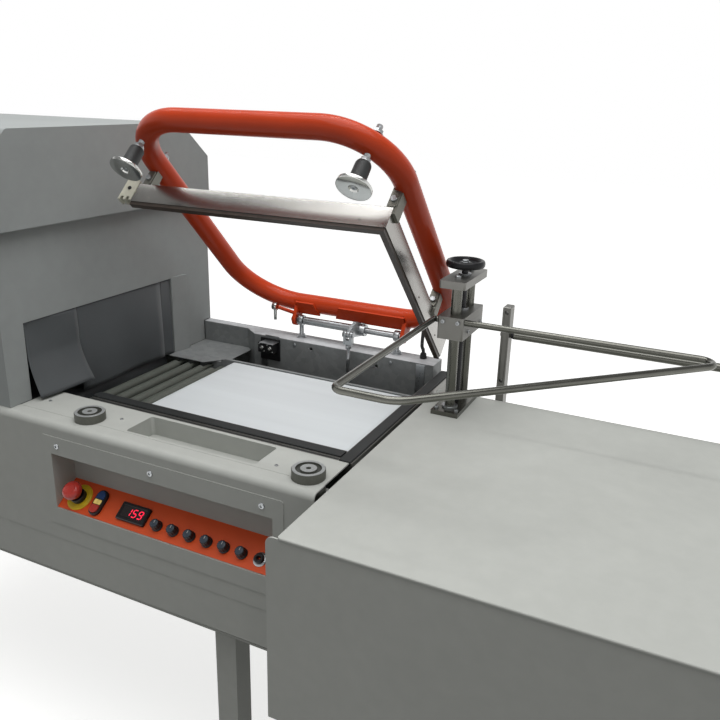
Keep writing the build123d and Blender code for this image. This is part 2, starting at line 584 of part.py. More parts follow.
# Tunnel body: sheet walls, entry and exit openings with a tunnel liner between them
wall_low = 0.0
rear_jamb_low = DEAD_PLATE_TOP
entry_outline = [(TUNNEL_FRONT, 0), (ENTRY_FRONT, 0), (ENTRY_FRONT, ENTRY_TOP), (ENTRY_BACK, ENTRY_TOP),
                 (ENTRY_BACK, rear_jamb_low), (WALL_STEP_Y - 1, rear_jamb_low),
                 (WALL_STEP_Y - 1, FLANGE_TOP + 1), (CABINET_BACK, FLANGE_TOP + 1),
                 (CABINET_BACK, TUNNEL_TOP), (TUNNEL_FRONT, TUNNEL_TOP)]
exit_outline = [(TUNNEL_FRONT, 0), (ENTRY_FRONT, 0), (ENTRY_FRONT, ENTRY_TOP), (ENTRY_BACK, ENTRY_TOP),
                (ENTRY_BACK, 0), (CABINET_BACK, 0), (CABINET_BACK, TUNNEL_TOP), (TUNNEL_FRONT, TUNNEL_TOP)]
entry_sheet = prism_x(entry_outline, TUNNEL_FACE - SHEET, TUNNEL_FACE)
exit_sheet = prism_x(exit_outline, TUNNEL_LEFT, TUNNEL_LEFT + SHEET)
front_sheet = block(TUNNEL_LEFT, TUNNEL_FACE, TUNNEL_FRONT, TUNNEL_FRONT + SHEET, wall_low, TUNNEL_TOP)
back_sheet = block(TUNNEL_LEFT, TUNNEL_FACE, CABINET_BACK - SHEET, CABINET_BACK, wall_low, TUNNEL_TOP)
liner_roof = block(TUNNEL_LEFT, TUNNEL_FACE, ENTRY_FRONT - 2, ENTRY_BACK + 2, ENTRY_TOP, ENTRY_TOP + 2)
liner_front = block(TUNNEL_LEFT, TUNNEL_FACE, ENTRY_FRONT - 2, ENTRY_FRONT, wall_low, ENTRY_TOP)
liner_back = block(TUNNEL_LEFT, TUNNEL_FACE, ENTRY_BACK, ENTRY_BACK + 2, wall_low, ENTRY_TOP)
tunnel_body = entry_sheet + exit_sheet + front_sheet + back_sheet + liner_roof + liner_front + liner_back
nodes["tunnel_body"] = tunnel_body

# Hood: sheet cover with cut corners that overhangs the body on the entry side
hood_outline = [(TUNNEL_FRONT, TUNNEL_TOP), (TUNNEL_FRONT, HOOD_TOP - HOOD_FRONT_CUT),
                (TUNNEL_FRONT + HOOD_FRONT_CUT, HOOD_TOP), (HOOD_CHAMFER_Y, HOOD_TOP),
                (CABINET_BACK - 11, HOOD_CHAMFER_Z), (CABINET_BACK - 11, TUNNEL_TOP)]
hood_solid = prism_x(hood_outline, TUNNEL_LEFT, HOOD_FACE)
hood_solid = fillet(hood_solid.edges().filter_by(Axis.X).group_by(Axis.Z)[-1], 14)
low_skin = TUNNEL_TOP + SHEET
hood_in = [(TUNNEL_FRONT + SHEET, low_skin), (TUNNEL_FRONT + SHEET, HOOD_TOP - HOOD_FRONT_CUT - 2),
           (TUNNEL_FRONT + HOOD_FRONT_CUT + 2, HOOD_TOP - SHEET), (HOOD_CHAMFER_Y - 2, HOOD_TOP - SHEET),
           (CABINET_BACK - 14, HOOD_CHAMFER_Z - 2), (CABINET_BACK - 14, low_skin)]
hood_cut = prism_x(hood_in, TUNNEL_LEFT + SHEET, HOOD_FACE - SHEET)
mouth = block(TUNNEL_LEFT + 30, TUNNEL_FACE - 30, TUNNEL_FRONT + 30, CABINET_BACK - 40,
              TUNNEL_TOP - 1, low_skin + 1)
nodes["tunnel_hood"] = (hood_solid - hood_cut) - mouth

# Curtain strips at the tunnel's entry and exit; the front entry strip is pushed outward
curtain_x = TUNNEL_FACE - SHEET - CURTAIN
strip_split = 222.0
hang_top = ENTRY_TOP
rear_strip = block(curtain_x, curtain_x + CURTAIN, strip_split + 1, ENTRY_BACK - 2, CURTAIN_LOW, hang_top)
swing = 36.0
bend_z = 96.0
pushed_mid = (bend_z + PUSHED_LOW) / 2
pushed_line = Spline((curtain_x, bend_z), (curtain_x + 0.35 * swing, pushed_mid),
                     (curtain_x + swing, PUSHED_LOW), tangents=((0, -1), (0.8, -1)))
pushed_back = Line(pushed_line @ 1, (pushed_line @ 1) + Vector(CURTAIN, 0))
pushed_return = Spline((curtain_x + CURTAIN + swing, PUSHED_LOW),
                       (curtain_x + CURTAIN + 0.35 * swing, pushed_mid),
                       (curtain_x + CURTAIN, bend_z), tangents=((-0.8, 1), (0, 1)))
pushed_close = Line((curtain_x + CURTAIN, bend_z), (curtain_x, bend_z))
pushed_face = make_face([pushed_line, pushed_back, pushed_return, pushed_close])
pushed = extrude(Plane((0, ENTRY_FRONT + 3, 0), x_dir=(1, 0, 0), z_dir=(0, -1, 0)) * pushed_face,
                 ENTRY_FRONT + 3 - strip_split)
front_strip = pushed + block(curtain_x, curtain_x + CURTAIN, ENTRY_FRONT + 3, strip_split, bend_z, hang_top)
exit_x = TUNNEL_LEFT + SHEET
exit_strips = []
exit_count = 4
exit_pitch = (ENTRY_BACK - ENTRY_FRONT) / exit_count
for index in range(exit_count):
    y_low = ENTRY_FRONT + index * exit_pitch
    exit_strips.append(block(exit_x, exit_x + CURTAIN, y_low + 1, y_low + exit_pitch - 1,
                             CURTAIN_LOW, hang_top))
nodes["tunnel_curtains"] = group(rear_strip, front_strip, *exit_strips)

# Tunnel conveyor: belt run over a bed with round noses, on two pedestals
nose = TUNNEL_BED_DEPTH / 2
run = extrude(Plane((0, ENTRY_FRONT + 10, 0), x_dir=(1, 0, 0), z_dir=(0, -1, 0))
              * Pos((TUNNEL_LEFT + TUNNEL_FACE - 18) / 2, TUNNEL_BED_TOP - nose)
              * SlotOverall(TUNNEL_FACE - 18 - TUNNEL_LEFT - 2, TUNNEL_BED_DEPTH),
              ENTRY_FRONT - ENTRY_BACK + 20)
run -= block(TUNNEL_LEFT + 60, TUNNEL_FACE - 80, ENTRY_FRONT, ENTRY_BACK,
             TUNNEL_BED_TOP - TUNNEL_BED_DEPTH + 6, TUNNEL_BED_TOP - 6)
for foot_x in (TUNNEL_LEFT + PEDESTAL_INSETS[0], TUNNEL_FACE - PEDESTAL_INSETS[1] - 6):
    run += block(foot_x, foot_x + 6, ENTRY_FRONT + 60, ENTRY_BACK - 60, CABINET_BOTTOM + SHEET,
                 TUNNEL_BED_TOP - TUNNEL_BED_DEPTH)
nodes["tunnel_conveyor"] = run

# Feed table: folded top and three aprons; the front apron has a rounded ear on the left
table_top = block(TABLE_LEFT, TABLE_RIGHT, TABLE_FRONT, TABLE_BACK, -TABLE_PLATE, 0)
table_top = fillet(table_top.edges().filter_by(Axis.Z), 8)
table_top = fillet(table_top.edges().group_by(Axis.Z)[-1], 2.5)
nodes["table_top"] = table_top
front_skirt = prism_y([(EAR_LEFT, CABINET_BOTTOM), (TABLE_RIGHT - 4, CABINET_BOTTOM),
                       (TABLE_RIGHT - 4, -TABLE_PLATE), (EAR_LEFT, -TABLE_PLATE)],
                      TABLE_FRONT + 2, TABLE_FRONT + 2 + SHEET)
front_skirt = fillet(front_skirt.edges().filter_by(Axis.Y).group_by(Axis.X)[0].sort_by(Axis.Z)[-1], 14)
right_skirt = block(TABLE_RIGHT - 4 - SHEET, TABLE_RIGHT - 4, TABLE_FRONT + 2 + SHEET, TABLE_BACK - SHEET,
                    CABINET_BOTTOM, -TABLE_PLATE)
back_skirt = block(TABLE_LEFT + 2, TABLE_RIGHT - 4, TABLE_BACK - SHEET, TABLE_BACK,
                   CABINET_BOTTOM, -TABLE_PLATE)
nodes["table_aprons"] = group(front_skirt, right_skirt, back_skirt)

# Inverter post: base, two guide columns, top plate
post_mid_y = sum(COLUMN_YS) / 2
base_plate = block(COLUMN_X - 30, COLUMN_X + 30, BLOCK_FRONT - 4, BLOCK_BACK, 0, POST_BASE)
base_plate -= rod_z(2, POST_BASE + 1, COLUMN_X, post_mid_y, SCREW_RADIUS + RUNNING_FIT)
columns = [base_plate]
for column_y in COLUMN_YS:
    columns.append(rod_z(POST_BASE, PLATE_LOW, COLUMN_X, column_y, COLUMN_RADIUS))
nodes["post_columns"] = group(*columns)
plate_top = PLATE_LOW + PLATE_THICK
top_plate = block(COLUMN_X - BLOCK_HALF, COLUMN_X + BLOCK_HALF, BLOCK_FRONT - 4, BLOCK_BACK + 12,
                  PLATE_LOW, plate_top)
top_plate = fillet(top_plate.edges().filter_by(Axis.Z), 5)
top_plate -= rod_z(PLATE_LOW - 1, plate_top + 1, COLUMN_X, post_mid_y, SCREW_RADIUS + RUNNING_FIT)
nodes["post_top_plate"] = top_plate

# Leadscrew with its dished handwheel
screw = rod_z(2 + LOOSE_GAP, WHEEL_LOW, COLUMN_X, post_mid_y, SCREW_RADIUS)
nodes["leadscrew"] = screw
wheel = spun([(0, 0), (15, 0), (16, 8), (34, 12), (WHEEL_RADIUS - 2, 8), (WHEEL_RADIUS, 12),
              (WHEEL_RADIUS, 24), (WHEEL_RADIUS - 3, 28), (WHEEL_RADIUS - 8, 28), (WHEEL_RADIUS - 11, 20),
              (15, 17), (13, 21), (0, 21)], COLUMN_X, post_mid_y, WHEEL_LOW)
nodes["handwheel"] = wheel

# Slide block and the bent inverter rod that it carries
slide = block(COLUMN_X - BLOCK_HALF, COLUMN_X + BLOCK_HALF, BLOCK_FRONT, BLOCK_BACK, BLOCK_LOW, BLOCK_TOP)
slide = fillet(slide.edges().filter_by(Axis.Z), 4)
for column_y in COLUMN_YS:
    slide -= rod_z(BLOCK_LOW - 1, BLOCK_TOP + 1, COLUMN_X, column_y, COLUMN_RADIUS + RUNNING_FIT)
slide -= rod_z(BLOCK_LOW - 1, BLOCK_TOP + 1, COLUMN_X, post_mid_y, SCREW_RADIUS + RUNNING_FIT)
slide -= rod_x(COLUMN_X - 40, COLUMN_X + 40, LOOP_BACK, LOOP_Z, LOOP_RADIUS + seat_gap)
loop_far_x = LOOP_CORNER_X + LOOP_BACK - LOOP_FRONT
loop_line = FilletPolyline((LOOP_LEFT, LOOP_FRONT), (LOOP_CORNER_X, LOOP_FRONT), (loop_far_x, LOOP_BACK),
                           (LOOP_LEFT, LOOP_BACK), radius=[18, 60, 24, 8], close=True)
loop_path = Pos(0, 0, LOOP_Z) * loop_line
loop_wire = Wire(loop_path.edges())
loop_start = Plane(origin=loop_wire @ 0, z_dir=loop_wire % 0)
nodes["inverter_rod"] = sweep(loop_start * Circle(LOOP_RADIUS), path=loop_wire)
nodes["slide_block"] = slide

# Film posts on the table's back apron, with the idler roller between them
film_posts = []
for post_x in POST_XS:
    bar = block(post_x - POST_WIDTH / 2, post_x + POST_WIDTH / 2, TABLE_BACK, TABLE_BACK + POST_DEPTH,
                POST_LOW, POST_TOP)
    bar = chamfer(bar.edges().group_by(Axis.Z)[-1], 1.5)
    for hole_z in HOLE_ZS:
        bar -= rod_y(TABLE_BACK - 1, TABLE_BACK + POST_DEPTH + 1, post_x, hole_z, HOLE_RADIUS)
    bar -= rod_x(post_x - POST_WIDTH, post_x + POST_WIDTH, IDLER_Y, IDLER_Z, IDLER_STUB + RUNNING_FIT)
    film_posts.append(bar)
nodes["film_posts"] = group(*film_posts)
idler_left = POST_XS[0] + POST_WIDTH / 2 + 8
idler_right = POST_XS[1] - POST_WIDTH / 2 - 8
idler = rod_x(idler_left, idler_right, IDLER_Y, IDLER_Z, IDLER_RADIUS)
idler = chamfer(idler.edges().filter_by(GeomType.CIRCLE), 1)
idler_reach = POST_WIDTH / 2 + 4
idler += rod_x(POST_XS[0] - idler_reach, POST_XS[1] + idler_reach, IDLER_Y, IDLER_Z, IDLER_STUB)
nodes["idler_roller"] = idler

# Arm: one bent tube loop, drawn closed and then swung up
arm_line = FilletPolyline((ARM_LEFT, ARM_FRONT), (ARM_RIGHT, ARM_FRONT), (ARM_RIGHT, ARM_REAR),
                          (ARM_LEFT, ARM_REAR), close=True,
                          radius=[ARM_BEND_FRONT, ARM_BEND_FRONT, ARM_BEND_REAR, ARM_BEND_REAR])
arm_wire = Wire((Pos(0, 0, ARM_Z) * arm_line).edges())
arm_start = Plane(origin=arm_wire @ 0, z_dir=arm_wire % 0)
arm_outer = sweep(arm_start * Circle(ARM_RADIUS), path=arm_wire)
arm_inner = sweep(arm_start * Circle(ARM_RADIUS - ARM_WALL), path=arm_wire)
arm_tube = arm_outer - arm_inner
stud_fit = STUD_RADIUS + seat_gap
for magnet_x, magnet_y in zip(MAGNET_XS, MAGNET_YS):
    arm_tube -= rod_z(ARM_Z - 60, ARM_Z + 60, magnet_x, magnet_y, stud_fit)
nodes["arm_tube"] = raised(arm_tube)

# Strike plates: chrome disc and stud in one, tapered rubber bush between disc and tube
disc_low = MAGNET_TOP + SEAL_GAP
disc_high = disc_low + DISC_THICK
stud_top = ARM_Z + ARM_RADIUS + 22
discs = []
bushes = []
for magnet_x, magnet_y in zip(MAGNET_XS, MAGNET_YS):
    disc = spun([(0, disc_low + 3), (7, disc_low + 3), (8, disc_low), (DISC_RADIUS - 1.5, disc_low),
                 (DISC_RADIUS, disc_low + 1.5), (DISC_RADIUS, disc_high - 1), (DISC_RADIUS - 1, disc_high),
                 (STUD_RADIUS, disc_high), (STUD_RADIUS, stud_top - 1), (STUD_RADIUS - 1, stud_top),
                 (0, stud_top)], magnet_x, magnet_y, 0)
    top_nut = extrude(Plane((magnet_x, magnet_y, ARM_Z + ARM_RADIUS + 2)) * RegularPolygon(11, 6), 10)
    low_nut = extrude(Plane((magnet_x, magnet_y, disc_high + BUSH_HEIGHT)) * RegularPolygon(11, 6), 9)
    discs.append(disc + top_nut + low_nut)
    bush_top = disc_high + BUSH_HEIGHT
    bushes.append(spun([(stud_fit, disc_high), (18, disc_high), (18, disc_high + 5), (13, bush_top),
                        (stud_fit, bush_top)], magnet_x, magnet_y, 0))
nodes["strike_discs"] = raised(group(*discs))
nodes["strike_bushes"] = raised(group(*bushes))

# Seal bars: folded covers over the strip carriers, in an L
strip_low = PAD_TOP + SEAL_GAP
cover_half = COVER_WIDTH / 2
side_edge = PAD_SIDE_X - cover_half
bar_y0 = PAD_FRONT_Y - cover_half
bar_y1 = PAD_FRONT_Y + cover_half
front_cover = block(FRONT_BAR_LEFT, side_edge, bar_y0, bar_y1, COVER_LOW, COVER_TOP)
front_cover = fillet(front_cover.edges().filter_by(Axis.X).group_by(Axis.Z)[-1], 4)
front_cover -= block(FRONT_BAR_LEFT - 1, side_edge + 1, bar_y0 + COVER_WALL, bar_y1 - COVER_WALL,
                     COVER_LOW - 1, STRIP_TOP)
side_cover = block(side_edge, PAD_SIDE_X + cover_half, bar_y0, SIDE_BAR_END, COVER_LOW, COVER_TOP)
side_cover = fillet(side_cover.edges().filter_by(Axis.Y).group_by(Axis.Z)[-1], 4)
side_cover -= block(side_edge + COVER_WALL, PAD_SIDE_X + cover_half - COVER_WALL,
                    bar_y0 - 1, SIDE_BAR_END + 1, COVER_LOW - 1, STRIP_TOP)
nodes["seal_bars"] = raised(group(front_cover, side_cover))
front_strip_bar = block(FRONT_BAR_LEFT, side_edge, bar_y0 + COVER_WALL, bar_y1 - COVER_WALL,
                        strip_low, STRIP_TOP)
side_strip_bar = block(side_edge + COVER_WALL, PAD_SIDE_X + cover_half - COVER_WALL, bar_y0, SIDE_BAR_END,
                       strip_low, STRIP_TOP)
nodes["seal_strips"] = raised(group(front_strip_bar, side_strip_bar))
block_left = FRONT_BAR_LEFT - 36
terminal = block(block_left, FRONT_BAR_LEFT, bar_y0 - 12, bar_y1 - 6, COVER_LOW + 4, COVER_TOP + 2)
terminal = fillet(terminal.edges().filter_by(Axis.Z), 4)
nodes["terminal_block"] = raised(terminal)

# Hangers that bolt the bars to the tube
saddle = ARM_RADIUS + seat_gap
hanger_top = ARM_Z - 10
left_hanger = block(ARM_LEFT - 9, ARM_LEFT + 13, PAD_FRONT_Y - 10, PAD_FRONT_Y + 10, COVER_TOP, hanger_top)
left_hanger -= rod_y(PAD_FRONT_Y - 20, PAD_FRONT_Y + 20, ARM_LEFT, ARM_Z, saddle)
corner_hanger = block(ARM_RIGHT - 20, ARM_RIGHT + 3, PAD_FRONT_Y - 12, PAD_FRONT_Y + 16,
                      COVER_TOP, hanger_top)
corner_hanger -= rod_y(PAD_FRONT_Y - 20, PAD_FRONT_Y + 30, ARM_RIGHT, ARM_Z, saddle)
corner_foot = block(PAD_SIDE_X - 44, PAD_SIDE_X + cover_half, bar_y0 + 1, bar_y1 - 1,
                    COVER_TOP, COVER_TOP + 5)
rear_hanger_y = ARM_REAR - ARM_BEND_REAR - 24
rear_hanger = block(ARM_RIGHT - 20, ARM_RIGHT + 3, rear_hanger_y - 12, rear_hanger_y + 12,
                    COVER_TOP, hanger_top)
rear_hanger -= rod_y(rear_hanger_y - 30, rear_hanger_y + 30, ARM_RIGHT, ARM_Z, saddle)
nodes["bar_hangers"] = raised(group(left_hanger, corner_hanger + corner_foot, rear_hanger))

# Rod end on the crank that trips the limit switches
striker_eye = (-484.0, 638.0, 72.0)
striker = rod_x(striker_eye[0] - 6, striker_eye[0] + 6, striker_eye[1], striker_eye[2], 10)
striker_dir = Vector(0, 26, -25)
shank_start = Vector(*striker_eye) + striker_dir.normalized() * 8
striker += extrude(Plane(origin=shank_start, z_dir=striker_dir) * Circle(4.5), 28)
nodes["switch_striker"] = raised(striker)

# Pivot shaft and the hinge lugs with their saddle on the tube
nodes["pivot_shaft"] = raised(rod_x(SHAFT_LEFT, SHAFT_RIGHT, PIVOT_Y, PIVOT_Z, SHAFT_RADIUS))
tube_saddle = sweep(arm_start * Circle(saddle), path=arm_wire)
shaft_hole = rod_x(ARM_LEFT, ARM_RIGHT, PIVOT_Y, PIVOT_Z, SHAFT_RADIUS + seat_gap)
lugs = []
for lug_x in LUG_XS:
    lug = hull_x([(PIVOT_Y, PIVOT_Z, 16), (ARM_REAR, ARM_Z - 8, 18)],
                 lug_x - LUG_THICK / 2, lug_x + LUG_THICK / 2)
    lugs.append((lug - tube_saddle) - shaft_hole)
web = prism_x([(ARM_REAR - 26, ARM_Z - 13), (ARM_REAR - 29, ARM_Z - 18), (ARM_REAR + 6, ARM_Z - 32),
               (ARM_REAR + 9, ARM_Z - 27)], EYE_XS[1] - 98, LUG_XS[1])
crank_start = (LUG_XS[0] - 2, PIVOT_Y - 14, PIVOT_Z + 10)
crank_end = (-478.0, 642.0, 73.0)
crank_axis = Vector(*crank_end) - Vector(*crank_start)
crank = extrude(Plane(origin=crank_start, z_dir=crank_axis) * Circle(5), crank_axis.length)
left_lug = (lugs[0] + crank) - striker
right_lug = (lugs[1] + (web - tube_saddle)) - shaft_hole
nodes["hinge_lugs"] = raised(group(left_lug, right_lug))

# Lift lever clamped on the shaft, with the pin for the lift rod
lever_half = LEVER_THICK / 2
lever = hull_x([(PIVOT_Y, PIVOT_Z, LEVER_HUB), (PIVOT_Y - 26, PIVOT_Z + 14, 14),
                (LEVER_PIN_Y, LEVER_PIN_Z, LEVER_EYE)], LEVER_X - lever_half, LEVER_X + lever_half)
collar = rod_x(LEVER_X + lever_half, LEVER_X + lever_half + 14, PIVOT_Y, PIVOT_Z, 15)
pin_reach = lever_half + FORK_EAR + 4
lever += collar
lever += rod_x(LEVER_X - pin_reach, LEVER_X + pin_reach, LEVER_PIN_Y, LEVER_PIN_Z, LEVER_PIN_RADIUS)
lever -= shaft_hole
nodes["lift_lever"] = lever

# Lift rod with its fork
fork_in = lever_half + 0.6
fork_out = fork_in + FORK_EAR
fork_base = LEVER_PIN_Z - 26
fork = block(LEVER_X - fork_out, LEVER_X + fork_out, LEVER_PIN_Y - 7, LEVER_PIN_Y + 7,
             fork_base, LEVER_PIN_Z)
fork += rod_x(LEVER_X - fork_out, LEVER_X + fork_out, LEVER_PIN_Y, LEVER_PIN_Z, 8)
fork -= block(LEVER_X - fork_in, LEVER_X + fork_in, LEVER_PIN_Y - 12, LEVER_PIN_Y + 12,
              fork_base + 12, LEVER_PIN_Z + 12)
fork -= rod_x(LEVER_X - 40, LEVER_X + 40, LEVER_PIN_Y, LEVER_PIN_Z, LEVER_PIN_RADIUS + RUNNING_FIT)
fork += rod_z(ROD_END_Z, fork_base, LEVER_X, LEVER_PIN_Y, ROD_RADIUS)
nodes["lift_rod"] = fork

# Cable from a gland on the rear flange to the arm
cable_x = -74.0
swing_rad = math.radians(OPEN_ANGLE)
arm_dy = ARM_REAR - PIVOT_Y
arm_dz = ARM_Z - PIVOT_Z
tube_y = PIVOT_Y + math.cos(swing_rad) * arm_dy + math.sin(swing_rad) * arm_dz
tube_z = PIVOT_Z - math.sin(swing_rad) * arm_dy + math.cos(swing_rad) * arm_dz
cable_line = Spline((cable_x, PIVOT_Y, FLANGE_TOP + 6), (cable_x - 3, PIVOT_Y - 4, FLANGE_TOP + 30),
                    (cable_x - 5, tube_y - ARM_RADIUS - 1.5, tube_z - 10), tangents=((0, 0, 1), (0, 0.7, 1)))
cable = sweep(Plane(origin=cable_line @ 0, z_dir=cable_line % 0) * Circle(3.5), path=cable_line)
gland = rod_z(FLANGE_TOP, FLANGE_TOP + 6, cable_x, PIVOT_Y, 8)
nodes["arm_cable"] = cable + gland

# Everything moves to the shared frame: origin under the middle of the machine, on the floor
arm_back = tube_y + ARM_RADIUS
shift = Pos(-(TUNNEL_LEFT + TABLE_RIGHT) / 2, -(TABLE_FRONT + arm_back) / 2, DECK_HEIGHT)
os.makedirs("parts", exist_ok=True)
for name, shape in nodes.items():
    placed = shift * shape
    export_step(placed, os.path.join("parts", name + ".step"))
print(len(nodes), "nodes; middle at", (TUNNEL_LEFT + TABLE_RIGHT) / 2, (TABLE_FRONT + arm_back) / 2)
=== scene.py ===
import json
import math

import bmesh
import bpy
from bpy.props import FloatProperty, FloatVectorProperty, IntProperty, PointerProperty, StringProperty
from mathutils import Matrix, Quaternion, Vector


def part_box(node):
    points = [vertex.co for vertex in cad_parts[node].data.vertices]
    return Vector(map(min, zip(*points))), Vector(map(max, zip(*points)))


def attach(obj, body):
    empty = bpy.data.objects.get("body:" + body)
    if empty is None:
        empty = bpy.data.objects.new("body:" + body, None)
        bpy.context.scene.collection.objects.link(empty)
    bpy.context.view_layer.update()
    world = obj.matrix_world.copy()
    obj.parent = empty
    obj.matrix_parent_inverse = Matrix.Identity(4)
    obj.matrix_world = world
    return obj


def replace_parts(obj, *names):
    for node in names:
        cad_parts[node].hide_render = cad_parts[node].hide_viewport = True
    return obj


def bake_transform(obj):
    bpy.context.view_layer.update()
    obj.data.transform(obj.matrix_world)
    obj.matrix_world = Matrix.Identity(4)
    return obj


bl_info = {
    "name": "L bar sealer",
    "version": (1, 0, 0),
    "blender": (4, 5, 0),
    "location": "View3D > Sidebar > Sealer",
    "description": "Finishes and small pieces of a combination L bar sealer, around its packed solids",
    "category": "Add Mesh",
}

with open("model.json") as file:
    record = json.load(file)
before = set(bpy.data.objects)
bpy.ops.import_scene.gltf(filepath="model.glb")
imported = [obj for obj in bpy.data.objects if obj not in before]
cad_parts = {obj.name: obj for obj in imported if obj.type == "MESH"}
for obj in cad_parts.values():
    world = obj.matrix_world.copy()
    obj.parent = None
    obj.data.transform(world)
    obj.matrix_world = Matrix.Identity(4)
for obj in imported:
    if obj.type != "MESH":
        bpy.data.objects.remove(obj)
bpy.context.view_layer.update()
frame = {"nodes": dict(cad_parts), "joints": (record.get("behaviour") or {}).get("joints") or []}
JOINTS = {joint["name"]: joint for joint in frame["joints"]}

# The machine's own zero: right end of the deck, front face of the cabinet, top of the deck
ZERO = Vector((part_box("front_apron")[1][0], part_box("front_apron")[0][1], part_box("table_top")[1][2]))
PIVOT = Vector(JOINTS["arm_hinge"]["pos_m"])
OPEN_ANGLE = math.radians(JOINTS["arm_hinge"]["range_deg"][1])
MM = 0.001
PIVOT_MM = (PIVOT - ZERO) / MM

# Sizes of the closed arm and its bars, in millimetres from the machine's zero
ARM_RADIUS = 24.0
ARM_HEIGHT = 119.0
ARM_LEFT = -590.0
ARM_RIGHT = 1.0
ARM_REAR = 680.0
STRIKES = ((-556.0, 54.0), (-40.0, 52.0))
DISC_LOW = 18.5
DISC_RADIUS = 34.0
BUSH_RADIUS = 17.0
BUSH_TOP = 76.5
BAR_FRONT = 146.0
BAR_BACK = 162.0
BAR_LEFT = -602.0
BAR_END = 640.0
FACING_LOW = 3.5
SIDE_BAR = -10.0
BAR_LOW = 11.0
BAR_TOP = 59.0
LUGS = (-441.0, -129.0)
EYES = (-424.0, -146.0)
WEB_THICK = 5.0
# Hangers: x, y, width and half the way between their plates
HANGERS = ((-588.0, 160.0, 22.0, 10.0), (-7.5, 162.0, 23.0, 14.0), (-7.5, 506.0, 23.0, 12.0))
FRONT_BAR_SCREWS = (-560.0, -60.0)
SIDE_BAR_SCREWS = (240.0, 400.0, 560.0)
CLAMPS = (-629.5, -613.5)
# Leads: knots of x, way behind the terminal block, and height
LEADS = (((-630.0, -2.0, 46.0), (-631.0, 14.0, 56.0), (-616.0, 28.0, 84.0), (-600.0, 24.0, 104.0)),
         ((-613.0, -2.0, 46.0), (-613.0, 10.0, 58.0), (-607.0, 18.0, 84.0), (-597.0, 16.0, 102.0)))

# Places on the cabinet and the post, in the same millimetres
RAIL_WALL = 652.0
FLANGE_TOP = 24.0
LEVER = (-252.0, 626.0, 75.0)
SLEEVE = (-415.0, -262.0)
SWITCH_X = -498.0
COLUMN_X = 78.0
COLUMNS = (462.0, 548.0)
SCREW_Y = 505.0
SCREW_TOP = 272.0
POST_FOOT = 10.0
FOOT_SCREWS = ((-22.0, 440.0), (22.0, 440.0), (-22.0, 556.0), (22.0, 556.0))
BEZEL_SCREWS = ((-599.0, -49.0), (-357.0, -49.0), (-105.0, -49.0))
DECK_SCREWS = ((-113.0, 62.0), (-500.0, 84.0), (-700.0, 84.0))
# Brackets on the wall: x from and to, z from and to; roller ends: y and the way they face
BRACKETS = ((-527.0, -508.0, -98.0, -43.0), (-77.0, -54.0, -98.0, 20.0))
ROLLER_ENDS = ((190.0, -1), (508.0, 1))
ENTRY_BACK = 548.0
ENTRY_TOP = 172.0
# Cloth strips: y from and to at the entry; first y, width and pitch at the exit
ENTRY_STRIPS = ((74.5, 221.0), (223.0, 508.0), (510.0, 545.5))
EXIT_STRIPS = (72.5, 116.5, 119.25)
LEG_COLUMNS = (-1405.0, -230.0, 655.0)
LEG_ROWS = (70.0, 625.0)

# Controls along the panel, and how far up its slope the larger ones sit
PANEL_RISE = 8.0
ESTOP_X = -577.0
BUTTONS_X = -523.0
DISPLAY_X = -430.0
JACK_X = -124.0
KNOB_RADIUS = 11.5
SEGMENTS = {"0": "abcdef", "1": "bc", "2": "abged", "3": "abgcd", "4": "fgbc", "5": "afgcd",
            "6": "afgedc", "7": "abc", "8": "abcdefg", "9": "abcdfg"}

# Head radius and height of the screws that recur, and softened edges in metres
BACK_SCREW = (4.6, 2.6)
SHEET_SCREW = (4.6, 2.4)
RUBBER_EDGE = 0.0005
FINE_EDGE = 0.0006
BROAD_EDGE = 0.0008

# Stage: camera place and turns, and each lamp's size in metres, place and target
CAMERA_PLACE = (559.3, -1005.6, 650.0)
CAMERA_TURNS = (25.5, 18.8, 1.52)
CAMERA_SHIFT = -8.0 / 720.0
SOFTBOX = ((2.6, 2.6), (0, 100, 2500), (-250, 330, 0))
STRIP = ((2.4, 0.12), (-1150, 900, 2400), (-1150, 500, 0))
FLOOR_SIZE = 14.0
FLOOR_GLOW = 0.68


def at(x, y, z):
    """Point of the machine's own millimetres, in metres of the shared frame."""
    return ZERO + Vector((x, y, z)) * MM


def span(node):
    """Lowest and highest corner of a solid, in the machine's millimetres."""
    low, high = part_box(node)
    return (low - ZERO) / MM, (high - ZERO) / MM


def raised(x, y, z):
    """Point of the closed arm, in millimetres, swung up to where the arm rests."""
    turn = Matrix.Rotation(-OPEN_ANGLE, 3, "X")
    return PIVOT + turn @ (at(x, y, z) - PIVOT)


def raised_way(x, y, z):
    """Direction on the closed arm, swung up with it."""
    return Matrix.Rotation(-OPEN_ANGLE, 3, "X") @ Vector((x, y, z))


# Colours and nodes


def linear(colour):
    """sRGB hex text to linear red, green, blue and alpha."""
    parts = [int(colour[i:i + 2], 16) / 255 for i in (1, 3, 5)]
    return tuple(c / 12.92 if c <= 0.04045 else ((c + 0.055) / 1.055) ** 2.4 for c in parts) + (1.0,)


def add(tree, kind, inputs=None, **settings):
    """Add one node with its settings; inputs are values, or sockets to link from."""
    node = tree.nodes.new(kind)
    for name, value in settings.items():
        setattr(node, name, value)
    for name, value in (inputs or {}).items():
        if isinstance(value, bpy.types.NodeSocket):
            tree.links.new(value, node.inputs[name])
        else:
            node.inputs[name].default_value = value
    return node


def per_mm(size):
    """Pattern scale for a feature of that many millimetres, in metre coordinates."""
    return 1000.0 / size


def shades(colour, *amounts):
    """A linear colour made darker or lighter by each amount."""
    return [tuple(min(1.0, c * amount) for c in colour[:3]) + (1.0,) for amount in amounts]


def swatch(name, description, colour):
    """Colour property with a hex default."""
    return FloatVectorProperty(name=name, description=description, subtype="COLOR", size=4,
                               min=0.0, max=1.0, default=linear(colour))


